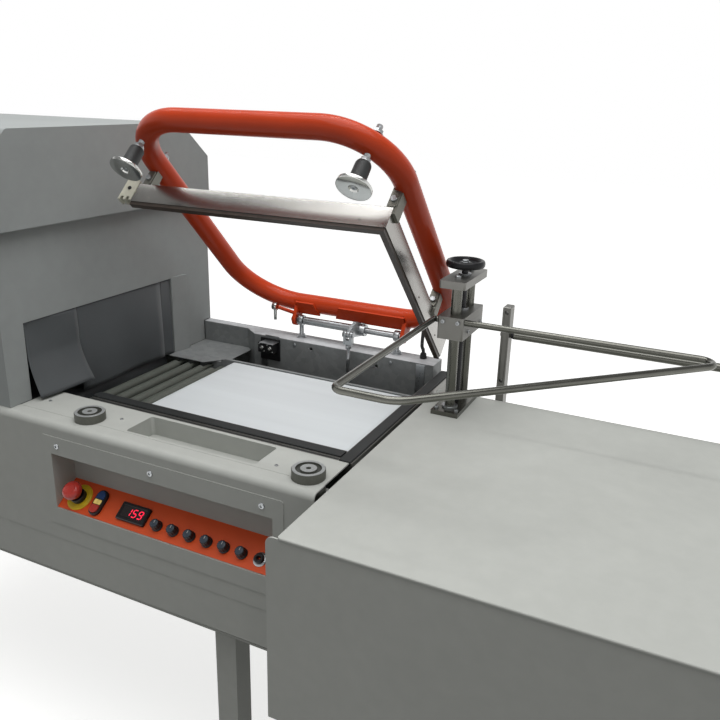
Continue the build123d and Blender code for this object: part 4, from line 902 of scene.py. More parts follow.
class SEALER_OT_controls(bpy.types.Operator):
    """Emergency stop, double push button, display, timer knobs and jack on the sloping panel."""

    bl_idname = "sealer.controls"
    bl_label = "Controls"

    def execute(self, context):
        dress(panel_lacquer, "control_panel", edge=0.0004)
        self.stop(on_panel(ESTOP_X, PANEL_RISE))
        self.buttons(on_panel(BUTTONS_X, PANEL_RISE))
        self.display(on_panel(DISPLAY_X, PANEL_RISE), context.scene.sealer_sizes.reading)
        self.jack(on_panel(JACK_X))
        for number in range(1, 7):
            self.knob(number, context.scene.sealer_sizes.knob_flutes)
        return {"FINISHED"}

    def stop(self, where):
        """Yellow collar, black sleeve and red mushroom head."""
        bm = bmesh.new()
        turned(bm, [(16.4, 0), (29, 0), (29, 1.2), (27.6, 2.3), (20, 3.0), (16.4, 3.0)], where, 56)
        turned(bm, [(9.6, 0), (16.5, 0), (16.5, 12.8), (15.5, 14), (9.6, 14)], where, 48, finish=1)
        collar = piece("estop_collar", bm, "frame", [yellow_abs, black_abs])
        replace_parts(collar, "panel_fittings")
        bm = bmesh.new()
        turned(bm, [(0, 6), (8.9, 6), (8.9, 20), (14.6, 20), (15, 20.6), (15.4, 25.8), (19.2, 26.8),
                    (20.2, 28), (20.5, 30), (20.5, 34.6), (19.8, 37.2), (18.2, 39.8), (15.2, 42),
                    (13.4, 42.7), (12.9, 42.4), (12.4, 43), (8, 43.9), (4, 44.5), (0, 44.6)], where, 64)
        head = piece("estop_mushroom", bm, "estop", [red_abs])
        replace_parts(head, "estop_head")

    def buttons(self, where):
        """Oval bezel with a lamp lens between the start and stop keys."""
        bm = bmesh.new()
        rims = ((56, 27, 0), (56, 27, 6.6), (53.6, 24.6, 8), (51, 22, 8), (50, 21, 7.4), (50, 21, 2))
        stacked(bm, [(stadium(length, width), height) for length, width, height in rims], where)
        brick(bm, where, 20.6, 13.0, 8.2, 0.5, 0.6)
        black("button_bezel", bm)
        bm = bmesh.new()
        brick(bm, shifted(where, 0, 0, 8.0), 18.4, 10.6, 2.4, 0.8, 1.2)
        piece("pilot_lamp", bm, "frame", [lamp_lens])
        dress(blue_abs, "start_button", edge=FINE_EDGE)
        dress(red_abs, "stop_button", edge=FINE_EDGE)

    def display(self, where, reading):
        """Snap-in frame, smoked window and lit figures."""
        bm = bmesh.new()
        rims = ((71, 38, 2.5, 0), (71, 38, 2.5, 6.2), (68, 35, 1.6, 8), (60, 27, 1.2, 8),
                (58, 25, 0.6, 6.9), (58, 25, 0.6, 5.8))
        stacked(bm, [(rounded(*rim[:3]), rim[3]) for rim in rims], where)
        black("display_frame", bm)
        bm = bmesh.new()
        stacked(bm, [(rounded(57.6, 24.6, 0.5), 5.8), (rounded(57.6, 24.6, 0.5), 6.5)], where)
        piece("display_window", bm, "frame", [display_acrylic])
        bm = bmesh.new()
        for place, character in enumerate(reading):
            digit_bars(bm, character, -10.0 + 14.5 * place, where)
        piece("display_figures", bm, "frame", [led_segment])

    def jack(self, where):
        """Panel jack: bright ring nut, black socket."""
        bm = bmesh.new()
        turned(bm, [(9, 0), (14, 0), (14, 1.4), (13.2, 2.2), (10.4, 3), (9, 3)], where, 40)
        turned(bm, [(4, 0), (9.8, 0), (9.8, 8.8), (8.6, 10), (5, 10), (4, 8.8)], where, 32, finish=1)
        piece("panel_jack", bm, "frame", [zinc_plate, black_abs])

    def knob(self, number, flutes):
        """Fluted timer knob with an inlaid cap and a pointer line."""
        joint = JOINTS["knob_%d_turn" % number]
        where = stand(Vector(joint["pos_m"]), joint["axis"])
        grip = (3, 4, 5)

        def fluted(index, angle):
            return 1.0 + 0.045 * math.cos(flutes * angle) if index in grip else 1.0

        bm = bmesh.new()
        rim = KNOB_RADIUS
        turned(bm, [(0, 0.5), (rim, 0.5), (rim, 3.2), (rim - 1.4, 4.6), (rim - 1.9, 15),
                    (rim - 2.4, 16.4), (rim - 3.2, 16.8), (0, 16.8)], where, 72, fluted)
        turned(bm, [(0, 16.6), (7.9, 16.6), (7.9, 17.0), (7.3, 17.3), (0, 17.3)], where, 40, finish=1)
        brick(bm, shifted(where, 0, 3.4, 17.2), 1.1, 5.6, 0.3, 0.1, 0.2, 2)
        knob = piece("timer_knob_grip_%d" % number, bm, "knob_%d" % number,
                     [black_abs, knob_abs, white_mark])
        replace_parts(knob, "timer_knob_%d" % number)


class SEALER_OT_cabinet(bpy.types.Operator):
    """Cabinet sheets, apron, control bezel with its screws, and what the back of the cabinet carries."""

    bl_idname = "sealer.cabinet"
    bl_label = "Cabinet"

    def execute(self, context):
        edge = context.scene.sealer_sizes.edge
        dress(powder_coat, "front_apron", "cabinet_panels", "control_bezel", edge=edge)
        bm = bmesh.new()
        bezel_front = span("control_bezel")[0].y
        for x, z in BEZEL_SCREWS:
            button_screw(bm, spot(x, bezel_front, z, (0, -1, 0)), 6.2, 2.8)
        bright("bezel_screws", bm)
        self.back_screws()
        return {"FINISHED"}

    def back_screws(self):
        """Row of screws round the back sheet, and round the left end sheet."""
        low, high = span("cabinet_panels")
        bm = bmesh.new()
        margin = 16.0
        for step in range(8):
            x = low.x + margin + (high.x - low.x - 2 * margin) * step / 7
            for z in (low.z + margin, -margin):
                button_screw(bm, spot(x, high.y, z, (0, 1, 0)), *BACK_SCREW)
        for y in (low.y + 40, high.y - 40):
            for z in (low.z + margin, low.z + 170):
                button_screw(bm, spot(low.x, y, z, (-1, 0, 0)), *BACK_SCREW)
        bright("cabinet_screws", bm)


class SEALER_OT_deck(bpy.types.Operator):
    """Sealing deck: sheet, trough, pad channels, pads and electromagnets."""

    bl_idname = "sealer.deck"
    bl_label = "Sealing deck"

    def execute(self, context):
        edge = context.scene.sealer_sizes.edge
        dress(powder_coat, "front_deck", edge=edge)
        dress(milled_aluminium, "pad_channels", edge=FINE_EDGE)
        dress(silicone_rubber, "seal_pads", edge=RUBBER_EDGE)
        dress(pot_magnet, "electromagnets", edge=RUBBER_EDGE)
        bm = bmesh.new()
        for x, y in DECK_SCREWS:
            button_screw(bm, spot(x, y, 0), 3.6, 1.6)
        bright("deck_screws", bm)
        return {"FINISHED"}


class SEALER_OT_conveyor(bpy.types.Operator):
    """White belt, drums, transfer rollers and the bed that carries them."""

    bl_idname = "sealer.conveyor"
    bl_label = "Conveyor"

    def execute(self, context):
        dress(belt_cover, "conveyor_belt")
        dress(roller_sleeve, "transfer_roller_1", "transfer_roller_2", "transfer_roller_3", "thick_roller")
        dress(zinc_plate, "belt_drum_left", "belt_drum_right")
        dress(galvanised_sheet, "belt_bed", "dead_plate", edge=BROAD_EDGE)
        for number in (1, 2, 3):
            self.roller_ends("transfer_roller_%d" % number, "roller_%d" % number, 12.5)
        self.roller_ends("thick_roller", "thick_roller", 17.0)
        return {"FINISHED"}

    def roller_ends(self, node, body, radius):
        """Pressed bearing caps that close a roller's sleeve."""
        low, high = span(node)
        middle = (low + high) / 2
        bm = bmesh.new()
        for y, way in ROLLER_ENDS:
            where = spot(middle.x, y, middle.z, (0, way, 0))
            turned(bm, [(5.2, 0.05), (radius - 1.4, 0.05), (radius - 1.8, 1.2), (radius - 4, 1.5),
                        (radius - 4.6, 0.9), (5.2, 0.9)], where, 32)
        black(node + "_caps", bm, body)


class SEALER_OT_rear_rail(bpy.types.Operator):
    """Rear rail, its brackets and limit switches, eye posts, lift lever, lift rod and arm cable."""

    bl_idname = "sealer.rear_rail"
    bl_label = "Rear rail and lift gear"

    def execute(self, context):
        edge = context.scene.sealer_sizes.edge
        dress(galvanised_sheet, "rear_rail", edge=edge)
        dress(zinc_plate, "eye_posts", "pivot_shaft", "lift_lever", "lift_rod", edge=FINE_EDGE)
        dress(black_abs, "limit_switch_box", edge=BROAD_EDGE)
        dress(black_oxide, "gas_spring_cylinder", edge=BROAD_EDGE)
        dress(chrome_plate, "switch_striker", edge=FINE_EDGE)
        self.brackets()
        self.switch_pins()
        self.posts()
        self.lift()
        self.cable()
        return {"FINISHED"}

    def brackets(self):
        """Bare brackets on the rail's wall, and the bent one over the switches."""
        bm = bmesh.new()
        wall = spot(0, RAIL_WALL, 0, (0, -1, 0))
        for x0, x1, z0, z1 in BRACKETS:
            middle = shifted(wall, (x0 + x1) / 2, (z0 + z1) / 2, 0)
            brick(bm, middle, x1 - x0, z1 - z0, 2.0, 0.4, 0.8)
        cover = spot(SWITCH_X + 6, RAIL_WALL - 17, 12.0)
        brick(bm, cover, 44, 34, 1.6, 0.4, 2.0)
        brick(bm, spot(SWITCH_X + 6, RAIL_WALL - 0.2, 19.0, (0, -1, 0)), 44, 15.5, 1.6, 0.4, 1.0)
        bright("rail_brackets", bm)

    def switch_pins(self):
        """Bright plungers and the fixing screws of the twin limit switch."""
        bm = bmesh.new()
        front = RAIL_WALL - 26
        for offset in (-12.5, 12.5):
            where = spot(SWITCH_X + offset, front, -2.0, (0, -1, 0))
            turned(bm, [(0, 0), (5.4, 0), (5.4, 1.2), (3.4, 1.8), (3.2, 5.0), (2.4, 5.8), (0, 6.0)],
                   where, 28)
            for dx, dz in ((-8.0, 9.0), (8.0, -9.0)):
                button_screw(bm, spot(SWITCH_X + offset + dx, front, -2.0 + dz, (0, -1, 0)), 1.9, 1.0)
        piece("switch_plungers", bm, "frame", [chrome_plate])

    def posts(self):
        """Threads and washers of the eye posts, and the screw in the wall behind each."""
        bm = bmesh.new()
        for x in EYES:
            foot = spot(x, PIVOT_MM[1], 0)
            threaded(bm, foot, 6.4, FLANGE_TOP + 8, PIVOT_MM[2] - 12, 1.75)
            threaded(bm, foot, 6.4, FLANGE_TOP - 41, FLANGE_TOP - 11, 1.75)
            for z in (FLANGE_TOP, FLANGE_TOP - 5):
                washer(bm, spot(x, PIVOT_MM[1], z), 6.2, 14.0, 2.0)
            button_screw(bm, spot(x, RAIL_WALL, 12.0, (0, -1, 0)), 5.0, 2.8)
        bright("eye_post_threads", bm)

    def lift(self):
        """Clips on the lever's pin, a clamp screw in its collar, and the lock nut under the fork."""
        x, y, z = LEVER
        bm = bmesh.new()
        for side in (-1, 1):
            clip = spot(x + side * 13.2, y, z, (side, 0, 0))
            washer(bm, clip, 4.9, 8.2, 1.4)
        collar = spot(x + 11, PIVOT_MM[1], PIVOT_MM[2] + 13.5)
        cap_screw(bm, collar, 4.0, 4.5)
        bright("lever_clips", bm, "arm")
        bm = bmesh.new()
        sleeve = spot(SLEEVE[0], PIVOT_MM[1], PIVOT_MM[2], (1, 0, 0), (0, 1, 0))
        reach = SLEEVE[1] - SLEEVE[0]
        turned(bm, [(8.1, 0), (10, 0), (10.6, 0.6), (10.6, reach - 0.6), (10, reach), (8.1, reach)],
               sleeve, 36)
        bright("shaft_sleeve", bm, "arm")
        bm = bmesh.new()
        nut(bm, spot(x, y, z - 36), 8.5, 8.0)
        threaded(bm, spot(x, y, 0), 4.5, z - 64, z - 36, 1.5)
        bright("fork_lock_nut", bm, "lift_rod")

    def cable(self):
        """Arm cable: from its gland on the flange into the underside of the tube."""
        foot = at(-74.0, PIVOT_MM[1], FLANGE_TOP)
        tube = raised(-79.0, ARM_REAR, ARM_HEIGHT)
        end = tube + Vector((0, -ARM_RADIUS + 2, -10)) * MM
        gland = stand(foot)
        bm = bmesh.new()
        nut(bm, gland, 9.5, 6.0)
        turned(bm, [(4.5, 6), (8, 6), (8, 11), (7, 14), (4.5, 14.5)], gland, 28)
        black("cable_gland", bm)
        top = foot + Vector((0, 0, 13)) * MM
        knots = [top, foot + Vector((-1, -1, 24)) * MM, foot + Vector((-3, -5, 36)) * MM, end]
        bm = bmesh.new()
        swept(bm, spline(knots, 6), 4.4, 14)
        cable = piece("arm_cable_sheath", bm, None, [cable_sheath])
        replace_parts(cable, "arm_cable")
        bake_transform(cable)


class SEALER_OT_tunnel(bpy.types.Operator):
    """Shrink tunnel: body, hood, entry jamb, louvres and screws, conveyor and cloth curtains."""

    bl_idname = "sealer.tunnel"
    bl_label = "Shrink tunnel"

    def execute(self, context):
        edge = context.scene.sealer_sizes.edge
        dress(tunnel_coat, "tunnel_body", "tunnel_hood", edge=edge)
        dress(glass_cloth, "tunnel_conveyor")
        self.jamb()
        self.louvres()
        self.screws()
        self.curtains(context.scene.sealer_sizes.curtain_wave / MM)
        return {"FINISHED"}

    def jamb(self):
        """Folded strip beside the entry's rear edge, standing off the face where it is folded back."""
        face = span("tunnel_body")[1].x
        front, back = ENTRY_BACK + 0.5, ENTRY_BACK + 52
        outline = [(face + 0.1, front), (face + 1.2, front), (face + 12, back - 2), (face + 11.4, back),
                   (face + 0.1, back)]
        low = span("dead_plate")[1].z + 0.6
        bm = bmesh.new()
        stacked(bm, [(outline, low), (outline, ENTRY_TOP + 3)], spot(0, 0, 0))
        piece("entry_jamb", bm, "frame", [tunnel_coat])

    def louvres(self):
        """Cooling louvres pressed out of the tunnel's back sheet."""
        low, high = span("tunnel_body")
        bm = bmesh.new()
        section = [(0, -4.5), (0, 4.5), (3.2, 3.4), (4.6, 0.4), (4.6, -4.5)]
        swell = (0.02, 0.85, 1.0, 1.0, 0.85, 0.02)
        ends = [[(a * k, b * (0.6 + 0.4 * k)) for a, b in section] for k in swell]
        for column in (-0.22, 0.22):
            for row in range(7):
                x = (low.x + high.x) / 2 + column * (high.x - low.x)
                where = spot(x - 60, high.y, 120 + 24 * row, (1, 0, 0), (0, 1, 0))
                stacked(bm, list(zip(ends, (0, 6, 14, 106, 114, 120))), where)
        piece("tunnel_louvres", bm, "frame", [tunnel_coat], 50)

    def screws(self):
        """Screws along the hood's lower rim and the tunnel's back and end sheets."""
        low, high = span("tunnel_body")
        hood_low, hood_high = span("tunnel_hood")
        bm = bmesh.new()
        for step in range(5):
            x = low.x + 20 + (high.x - low.x - 40) * step / 4
            button_screw(bm, spot(x, hood_high.y, hood_low.z + 14, (0, 1, 0)), *SHEET_SCREW)
            button_screw(bm, spot(x, high.y, hood_low.z - 16, (0, 1, 0)), *SHEET_SCREW)
        for y in (low.y + 24, (low.y + high.y) / 2, high.y - 24):
            button_screw(bm, spot(low.x, y, hood_low.z - 16, (-1, 0, 0)), *SHEET_SCREW)
        bright("tunnel_screws", bm)

    def curtains(self, wave):
        """Cloth strips at both mouths; the front entry strip is pushed outward by what went in."""
        low, high = span("tunnel_curtains")
        entry_x = span("tunnel_body")[1].x - 4.2
        exit_x = span("tunnel_body")[0].x + 4.2
        top, bottom = high.z, low.z
        entry_low = bottom - 9.0
        bend, lift, swing = 96.0, 6.0, 36.0

        def pushed(u, z):
            drop = max(0.0, (bend - z) / (bend - lift))
            return swing * drop ** 1.5 * (0.8 + 0.35 * u) + wave * 0.5 * math.sin(5 * u + z / 40)

        def hung(u, z):
            return wave * math.sin(7.5 * u + z / 90) * (top - z) / (top - bottom)

        def curled(u, z):
            return wave * 1.6 * (u - 0.4) * (top - z) / (top - bottom)

        entry = (("entry_curtain_front", lift, pushed), ("entry_curtain_main", entry_low, hung),
                 ("entry_curtain_narrow", entry_low, curled))
        made = [self.strip(name, entry_x, y0, y1, top, foot, sway)
                for (name, foot, sway), (y0, y1) in zip(entry, ENTRY_STRIPS)]
        first, width, pitch = EXIT_STRIPS
        for index in range(4):
            y0 = first + index * pitch
            self.strip("exit_curtain_%d" % (index + 1), exit_x, y0, y0 + width, top, bottom, hung)
        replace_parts(made[0], "tunnel_curtains")

    def strip(self, name, x, y0, y1, top, foot, sway):
        """One strip, hung by its top edge."""
        columns, rows = 14, 22
        bm = bmesh.new()
        grid = []
        for row in range(rows + 1):
            z = top + (foot - top) * row / rows
            grid.append([bm.verts.new(at(x + sway(c / columns, z), y0 + (y1 - y0) * c / columns, z))
                         for c in range(columns + 1)])
        for upper, lower in zip(grid, grid[1:]):
            for c in range(columns):
                bm.faces.new((upper[c], upper[c + 1], lower[c + 1], lower[c]))
        cloth = piece(name, bm, "frame", [glass_cloth], 80)
        thick = cloth.modifiers.new("cloth", "SOLIDIFY")
        thick.thickness = 0.0012
        thick.offset = 0.0
        return cloth


class SEALER_OT_arm(bpy.types.Operator):
    """Sealing arm: enamelled tube and lugs, weld beads, webs, strike plates and their studs."""

    bl_idname = "sealer.arm"
    bl_label = "Sealing arm"

    def execute(self, context):
        dress(arm_enamel, "arm_tube")
        dress(arm_enamel, "hinge_lugs", edge=0.0012)
        self.welds()
        self.webs()
        self.strikes()
        return {"FINISHED"}

    def welds(self):
        """Weld beads where the lugs meet the tube."""
        bm = bmesh.new()
        for lug in LUGS:
            for side in (-5.6, 5.6):
                points = []
                for step in range(19):
                    angle = math.radians(-165 + 150 * step / 18)
                    ripple = ARM_RADIUS + 0.4 + 0.35 * math.sin(step * 2.1)
                    points.append(raised(lug + side, ARM_REAR + ripple * math.cos(angle),
                                         ARM_HEIGHT + ripple * math.sin(angle)))
                swept(bm, points, 2.1, 8)
        piece("arm_welds", bm, "arm", [arm_enamel], 60)

    def webs(self):
        """Sloping plates under the rear tube, from each lug towards the open middle."""
        bm = bmesh.new()
        upper = (ARM_REAR - 27.5, ARM_HEIGHT - 15.5)
        lower = (ARM_REAR + 6.0, ARM_HEIGHT - 28.5)
        run = Vector(lower) - Vector(upper)
        side = Vector((-run.y, run.x)).normalized() * WEB_THICK / 2
        for lug, reach, slant in ((LUGS[0], 53.0, 14.0), (LUGS[1], -184.0, -14.0)):
            corners = ((lug, upper), (lug + reach, upper), (lug + reach + slant, lower), (lug, lower))
            front, back = ([bm.verts.new(raised(x, y + way * side.x, z + way * side.y))
                            for x, (y, z) in corners] for way in (1, -1))
            skin(bm, [front, back])
        piece("lug_webs", bm, "arm", [arm_enamel])

    def strikes(self):
        """Chrome disc with a sunk screw, rubber bush, and the stud with its nuts and washers."""
        disc_top = DISC_LOW + 8
        over = ARM_HEIGHT + ARM_RADIUS
        discs, bushes, bm = bmesh.new(), bmesh.new(), bmesh.new()
        for x, y in STRIKES:
            foot = on_arm(x, y, 0)
            rim = DISC_RADIUS
            turned(discs, [(0, DISC_LOW + 4), (6.4, DISC_LOW + 4), (10, DISC_LOW), (rim - 1.6, DISC_LOW),
                           (rim - 0.4, DISC_LOW + 0.5), (rim, DISC_LOW + 1.6), (rim, disc_top - 2),
                           (rim - 1.4, disc_top - 0.4), (rim - 3, disc_top), (0, disc_top)], foot, 72)
            rim = BUSH_RADIUS
            turned(bushes, [(0, disc_top), (rim - 0.8, disc_top), (rim, disc_top + 1), (rim, disc_top + 6),
                            (rim - 1, disc_top + 8), (rim - 1.6, BUSH_TOP - 5), (rim - 3, BUSH_TOP - 1.4),
                            (rim - 5, BUSH_TOP), (0, BUSH_TOP)], foot, 40)
            cap_screw(bm, on_arm(x, y, DISC_LOW + 4, (0, 0, -1)), 5.8, 3.0)
            threaded(bm, foot, 6.3, BUSH_TOP, ARM_HEIGHT - ARM_RADIUS + 2, 1.75)
            threaded(bm, foot, 6.3, over - 2, over + 22, 1.75)
            washer(bm, on_arm(x, y, over), 6.2, 13.0, 2.0)
            nut(bm, on_arm(x, y, over + 2), 11.0, 9.0)
            washer(bm, on_arm(x, y, BUSH_TOP), 6.2, 12.5, 1.6)
            nut(bm, on_arm(x, y, BUSH_TOP + 1.6), 10.5, 8.0)
        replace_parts(piece("strike_plates", discs, "arm", [chrome_plate]), "strike_discs")
        rubbers = piece("strike_rubbers", bushes, "arm", [silicone_rubber])
        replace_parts(rubbers, "strike_bushes")
        bright("strike_hardware", bm, "arm")


class SEALER_OT_seal_bars(bpy.types.Operator):
    """Seal bars: brushed covers, facings, hangers with their plates and bolts, terminal block."""

    bl_idname = "sealer.seal_bars"
    bl_label = "Seal bars"

    def execute(self, context):
        dress(bare_steel, "bar_hangers", edge=BROAD_EDGE)
        self.covers()
        self.block()
        self.hanger_plates()
        self.bar_ends()
        self.terminals()
        return {"FINISHED"}

    def covers(self):
        """Tall folded covers of both bars, mitred at the corner, over their dark facings."""
        deep = BAR_BACK - BAR_FRONT
        out = SIDE_BAR + deep / 2
        section = [(0.0, BAR_LOW), (0.0, BAR_TOP - 2.4), (0.7, BAR_TOP - 0.7), (2.4, BAR_TOP),
                   (deep - 2.4, BAR_TOP), (deep - 0.7, BAR_TOP - 0.7), (deep, BAR_TOP - 2.4),
                   (deep, BAR_LOW)]
        lip = [(2.0, FACING_LOW), (2.0, BAR_LOW + 6), (deep - 2.0, BAR_LOW + 6), (deep - 2.0, FACING_LOW)]
        bm = bmesh.new()
        for outline, finish in ((section, 0), (lip, 1)):
            rings = [[bm.verts.new(raised(BAR_LEFT, BAR_FRONT + depth, z)) for depth, z in outline],
                     [bm.verts.new(raised(out - depth, BAR_FRONT + depth, z)) for depth, z in outline],
                     [bm.verts.new(raised(out - depth, BAR_END, z)) for depth, z in outline]]
            skin(bm, rings, finish)
        covers = piece("seal_bar_covers", bm, "arm", [brushed_stainless, bar_facing], 30)
        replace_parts(covers, "seal_bars", "seal_strips")

    def block(self):
        """Cream terminal block at the end of the front bar, with two clamp slots below."""
        width, high, deep = 36.0, 53.0, 20.0
        left, low = BAR_LEFT - width - 1, BAR_LOW + 2
        outline = [(0, 0), (6, 0), (6, 8), (14, 8), (14, 0), (22, 0), (22, 8), (30, 8), (30, 0), (width, 0),
                   (width, high - 3), (width - 3, high), (3, high), (0, high - 3)]
        where = on_arm(left, BAR_FRONT - 1 + deep, low, (0, -1, 0))
        inner = [(a + (0.8 if a < 1 else -0.8 if a > width - 1 else 0), b) for a, b in outline]
        bm = bmesh.new()
        stacked(bm, [(inner, 0), (outline, 0.8), (outline, deep - 0.8), (inner, deep)], where)
        brick(bm, on_arm(BAR_LEFT - 1, (BAR_FRONT + BAR_BACK) / 2, 32.0, (1, 0, 0), (0, 1, 0)),
              10.0, 22.0, 2.0, 0.4, 1.0)
        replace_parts(piece("bar_terminal", bm, "arm", [steatite]), "terminal_block")

    def hanger_plates(self):
        """Twin plates, cross bolts and through studs of the three hangers."""
        bm = bmesh.new()
        over = ARM_HEIGHT + ARM_RADIUS
        for x, y, width, reach in HANGERS:
            for side in (-1, 1):
                where = on_arm(x, y + side * reach, 0, (0, side, 0))
                height = ARM_HEIGHT - 22 - BAR_TOP
                plate = shifted(where, 0, -side * (BAR_TOP + height / 2), 0)
                brick(bm, plate, width - 4, height, 2.6, 0.5, 5.0)
                nut(bm, shifted(where, 0, -side * (BAR_TOP + 17), 2.6), 7.0, 5.0, 1)
            stud = on_arm(ARM_LEFT if x < -300 else ARM_RIGHT, y, 0)
            threaded(bm, stud, 5.0, over - 2, over + 15, 1.5, finish=1)
            nut(bm, shifted(stud, 0, 0, over), 9.0, 7.0, 1)
        piece("hanger_plates", bm, "arm", [bare_steel, zinc_plate])

    def bar_ends(self):
        """End plate of the side cover and the small screws along the covers' faces."""
        bm = bmesh.new()
        half = (BAR_BACK - BAR_FRONT) / 2
        height = BAR_TOP - BAR_LOW
        far = on_arm(SIDE_BAR, BAR_END, BAR_LOW + height / 2, (0, 1, 0))
        brick(bm, far, 2 * half - 1, height - 1, 2.0, 0.4, 3.0)
        for x in FRONT_BAR_SCREWS:
            button_screw(bm, on_arm(x, BAR_FRONT, BAR_LOW + 12, (0, -1, 0)), 2.4, 1.2)
        for y in SIDE_BAR_SCREWS:
            button_screw(bm, on_arm(SIDE_BAR + half, y, BAR_LOW + 12, (1, 0, 0)), 2.4, 1.2)
        piece("bar_end_plates", bm, "arm", [brushed_stainless])

    def terminals(self):
        """Clamp screws of the terminal block and the leads that run up to the tube."""
        bm = bmesh.new()
        front, back, top = BAR_FRONT - 1, BAR_BACK + 3, BAR_TOP + 7
        for x in CLAMPS:
            cap_screw(bm, on_arm(x, front + 8.5, BAR_LOW + 9, (0, 0, -1)), 3.2, 2.4)
            cap_screw(bm, on_arm(x, (front + back) / 2, top), 3.4, 2.4)
        cap_screw(bm, on_arm(-621.0, front, 43.0, (0, -1, 0)), 4.2, 2.6)
        piece("terminal_screws", bm, "arm", [black_oxide])
        bm = bmesh.new()
        for path in LEADS:
            swept(bm, spline([raised(x, back + y, z) for x, y, z in path], 8), 2.4, 10)
        piece("terminal_leads", bm, "arm", [cable_sheath])


class SEALER_OT_table(bpy.types.Operator):
    """Feed table, its aprons and the film posts with their idler."""

    bl_idname = "sealer.table"
    bl_label = "Feed table and film posts"

    def execute(self, context):
        edge = context.scene.sealer_sizes.edge
        dress(powder_coat, "table_top", "table_aprons", edge=edge)
        dress(milled_aluminium, "film_posts", edge=FINE_EDGE)
        self.post_screws()
        self.idler()
        return {"FINISHED"}

    def post_screws(self):
        """Screws through the film posts into the table's back apron, and the apron's own screws."""
        low, high = span("film_posts")
        table_low, table_high = span("table_aprons")
        bm = bmesh.new()
        for x in (low.x + 9, high.x - 9):
            for z in (-45.0, -18.0):
                cap_screw(bm, spot(x, high.y, z, (0, 1, 0)), 5.0, 5.0)
        for z in (-40.0, table_low.z + 30):
            for y in (table_low.y + 40, (table_low.y + table_high.y) / 2, table_high.y - 40):
                button_screw(bm, spot(table_high.x, y, z, (1, 0, 0)), *SHEET_SCREW)
        bright("table_screws", bm)

    def idler(self):
        """Thin ground idler with stepped collars and its stub ends in the posts."""
        low, high = span("idler_roller")
        middle = (low + high) / 2
        where = spot(low.x, middle.y, middle.z, (1, 0, 0), (0, 1, 0))
        reach = high.x - low.x
        bm = bmesh.new()
        turned(bm, [(0, 0), (5.2, 0), (5.8, 0.6), (5.8, 30), (8.2, 30), (8.8, 30.8), (8.8, reach - 30.8),
                    (8.2, reach - 30), (5.8, reach - 30), (5.8, reach - 0.6), (5.2, reach), (0, reach)],
               where, 40)
        for x, way in ((30, -1), (reach - 30, 1)):
            collar = shifted(where, 0, 0, x) @ Matrix.Scale(way, 4, (0, 0, 1))
            turned(bm, [(5.8, 0.05), (8.6, 0.05), (8.4, 2.4), (7.4, 3.0), (7.2, 6.2), (5.8, 6.6)],
                   collar, 32, finish=1)
        rod = piece("idler_rod", bm, "idler", [ground_steel, black_abs])
        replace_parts(rod, "idler_roller")


